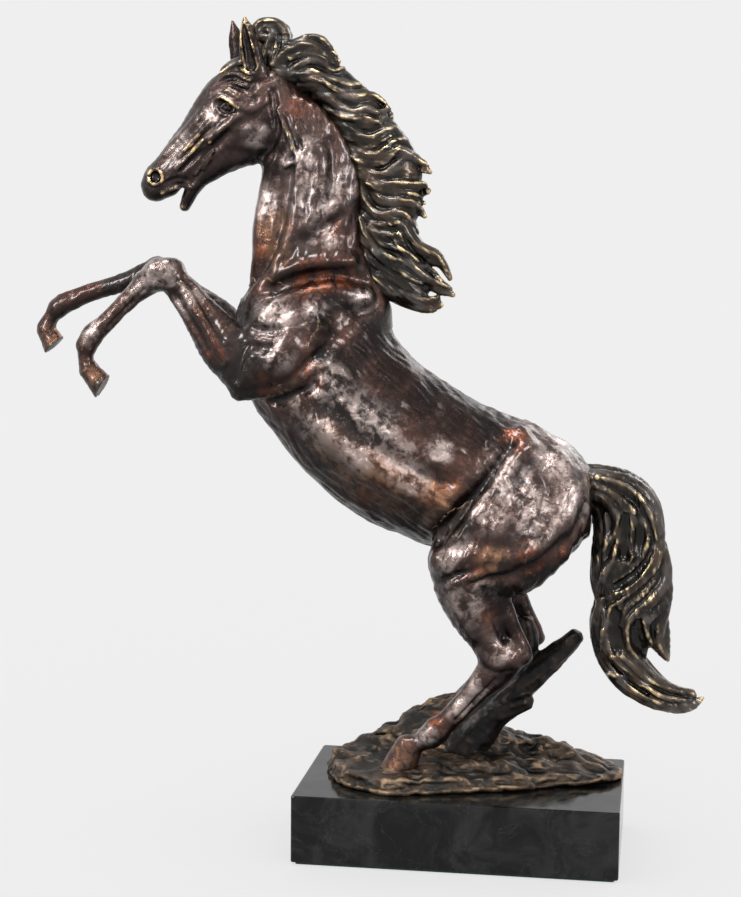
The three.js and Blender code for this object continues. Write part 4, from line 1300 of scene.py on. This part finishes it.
def lay_bark(n):
    """The stump's near-black bronze, browner on its ridges, with painted shade in its hollows."""
    fine, broad = n.attribute("fine"), n.attribute("broad")
    base = n.mix(n.ramp(n.noise(10, 4), 0.42, 0.6), rgb(0.006, 0.005, 0.005), rgb(0.020, 0.014, 0.011))
    # Painted shade: hollows darkened further.
    base = n.mix(n.ramp(broad, -1.0, 0.2, 0.9, 0.0), base, rgb(0.003, 0.003, 0.003))
    worn = n.math("MULTIPLY", n.ramp(fine, 0.2, 0.5), n.ramp(n.noise(10, 3), 0.46, 0.62, 0.05, 0.5))
    base = n.mix(worn, base, rgb(0.20, 0.14, 0.09))
    n.link(base, n.shader.inputs["Base Color"])
    n.shader.inputs["Metallic"].default_value = 0.8
    n.link(n.ramp(n.noise(7, 4), 0.3, 0.7, 0.34, 0.55), n.shader.inputs["Roughness"])
    n.shader.inputs["Coat Weight"].default_value = 0.12
    n.shader.inputs["Coat Roughness"].default_value = 0.3
    n.bump(n.noise(1.6, 5, 0.65), 0.4, 0.8)
    return n.material


def lay_marble(n):
    """Black marble, polished: faint grey clouds and a few hair-thin pale veins."""
    clouds = n.noise(34, 6, 0.6, 1.2)
    base = n.mix(n.ramp(clouds, 0.38, 0.66), rgb(0.0015, 0.0015, 0.0015), rgb(0.012, 0.013, 0.012))
    vein = n.math("ABSOLUTE", n.math("SUBTRACT", n.noise(60, 8, 0.62, 2.5), 0.5))
    base = n.mix(n.ramp(vein, 0.0, 0.006, 0.12, 0.0), base, rgb(0.12, 0.12, 0.115))
    n.link(base, n.shader.inputs["Base Color"])
    n.link(n.ramp(n.noise(5, 5), 0.3, 0.7, 0.06, 0.14), n.shader.inputs["Roughness"])
    n.shader.inputs["Specular IOR Level"].default_value = 0.24
    n.bump(n.noise(1.2, 4, 0.6), 0.05, 0.4)
    return n.material


def lay_felt(n):
    """Dark green felt."""
    fibres = n.noise(0.8, 6, 0.7, 1.0)
    n.link(n.mix(n.ramp(fibres, 0.35, 0.65), rgb(0.006, 0.02, 0.012), rgb(0.02, 0.06, 0.035)),
           n.shader.inputs["Base Color"])
    n.shader.inputs["Roughness"].default_value = 0.95
    n.shader.inputs["Sheen Weight"].default_value = 0.4
    n.bump(fibres, 0.3, 0.8)
    return n.material


def lay_steel(n):
    """Zinc-plated steel with a fine grain."""
    grain = n.noise(1.5, 5, 0.6)
    n.link(n.mix(grain, rgb(0.42, 0.42, 0.41), rgb(0.58, 0.58, 0.56)), n.shader.inputs["Base Color"])
    n.shader.inputs["Metallic"].default_value = 1.0
    n.link(n.ramp(grain, 0.3, 0.7, 0.25, 0.42), n.shader.inputs["Roughness"])
    n.bump(grain, 0.03, 0.4)
    return n.material


def refinish(node, material):
    """Gives a carried-over CAD node a better material."""
    mesh = bpy.data.objects[node].data
    mesh.materials.clear()
    mesh.materials.append(material)


def refinish_hardware():
    for node in frame["nodes"]:
        if node == "marble_plinth":
            refinish(node, made("black_marble", lay_marble))
        elif node == "felt_pad":
            refinish(node, made("green_felt", lay_felt))
        elif node.endswith(("_stud", "_washer", "_nut", "_pin")):
            refinish(node, made("plated_steel", lay_steel))


# ---- camera, light and floor ----
CAMERA_PLACE = (120, -1228, 358 + TOP)
CAMERA_TURN = (-8.4, -6.9, 0.54)  # yaw, pitch and roll, in degrees
HORSE_MIDDLE = (-60, 0, 260)  # where the softboxes point


def set_camera():
    camera = bpy.data.objects.new("camera", bpy.data.cameras.new("camera"))
    bpy.context.scene.collection.objects.link(camera)
    yaw, pitch, roll = (math.radians(a) for a in CAMERA_TURN)
    forward = Vector((math.sin(yaw) * math.cos(pitch), math.cos(yaw) * math.cos(pitch), math.sin(pitch)))
    level = Vector((math.cos(yaw), -math.sin(yaw), 0))
    rise = level.cross(forward)
    right = level * math.cos(roll) + rise * math.sin(roll)
    up = rise * math.cos(roll) - level * math.sin(roll)
    turn = Matrix((right, up, -forward)).transposed()
    camera.matrix_world = Matrix.Translation(Vector(CAMERA_PLACE) * MM) @ turn.to_4x4()
    camera.data.lens = 80.3
    camera.data.sensor_width = 36
    bpy.context.scene.camera = camera


def soft_light(name, place_mm, size_mm, watts):
    lamp = bpy.data.lights.new(name, "AREA")
    lamp.shape = "RECTANGLE"
    lamp.size, lamp.size_y = (s * MM for s in size_mm)
    lamp.energy = watts
    holder = bpy.data.objects.new(name, lamp)
    bpy.context.scene.collection.objects.link(holder)
    holder.location = Vector(place_mm) * MM
    aim = Vector(HORSE_MIDDLE) * MM - holder.location
    holder.rotation_euler = aim.to_track_quat("-Z", "Y").to_euler()
    return holder


def set_studio():
    """Even light from all round, and small softboxes that light only the statue."""
    world = bpy.data.worlds.new("studio")
    world.use_nodes = True
    world.node_tree.nodes["Background"].inputs["Color"].default_value = (*[BACKDROP] * 3, 1)
    bpy.context.scene.world = world
    bpy.context.scene.view_settings.view_transform = "Standard"
    statue = bpy.data.collections.new("statue")
    for piece in bpy.context.scene.objects:
        if piece.type == "MESH" and piece.name != "floor":
            statue.objects.link(piece)
    for softbox in (
        soft_light("overhead", (-250, -350, 1500), (500, 300), 15),
        soft_light("front_left", (-900, -1100, 900), (260, 400), 14),
        soft_light("front_right", (900, -1000, 800), (200, 400), 9),
        soft_light("back", (600, 1100, 900), (700, 500), 4),
    ):
        softbox.light_linking.receiver_collection = statue


def make_floor():
    """A plain pale floor, as bright as the walls. Its glow hides the seam between them."""
    half = 30.0  # metres
    corners = np.array([[-half, -half, 0], [half, -half, 0], [half, half, 0], [-half, half, 0]])
    mesh = new_mesh("floor", corners, np.array([[0, 1, 2, 3]]))
    floor = bpy.data.objects.new("floor", mesh)
    bpy.context.scene.collection.objects.link(floor)
    n = Nodes("pale_floor")
    tone = n.mix(n.noise(900, 2), rgb(0.245, 0.245, 0.245), rgb(0.255, 0.255, 0.255))
    n.link(tone, n.shader.inputs["Base Color"])
    n.shader.inputs["Roughness"].default_value = 1.0
    n.shader.inputs["Specular IOR Level"].default_value = 0.0
    n.link(rgb(*[BACKDROP] * 3), n.shader.inputs["Emission Color"])
    n.shader.inputs["Emission Strength"].default_value = 0.75
    mesh.materials.append(n.material)


set_camera()
make_floor()
for casting, settings in CASTINGS.items():
    make_casting(casting, *settings)
make_mane()
make_tail()
make_ground()
make_stump()
refinish_hardware()
set_studio()
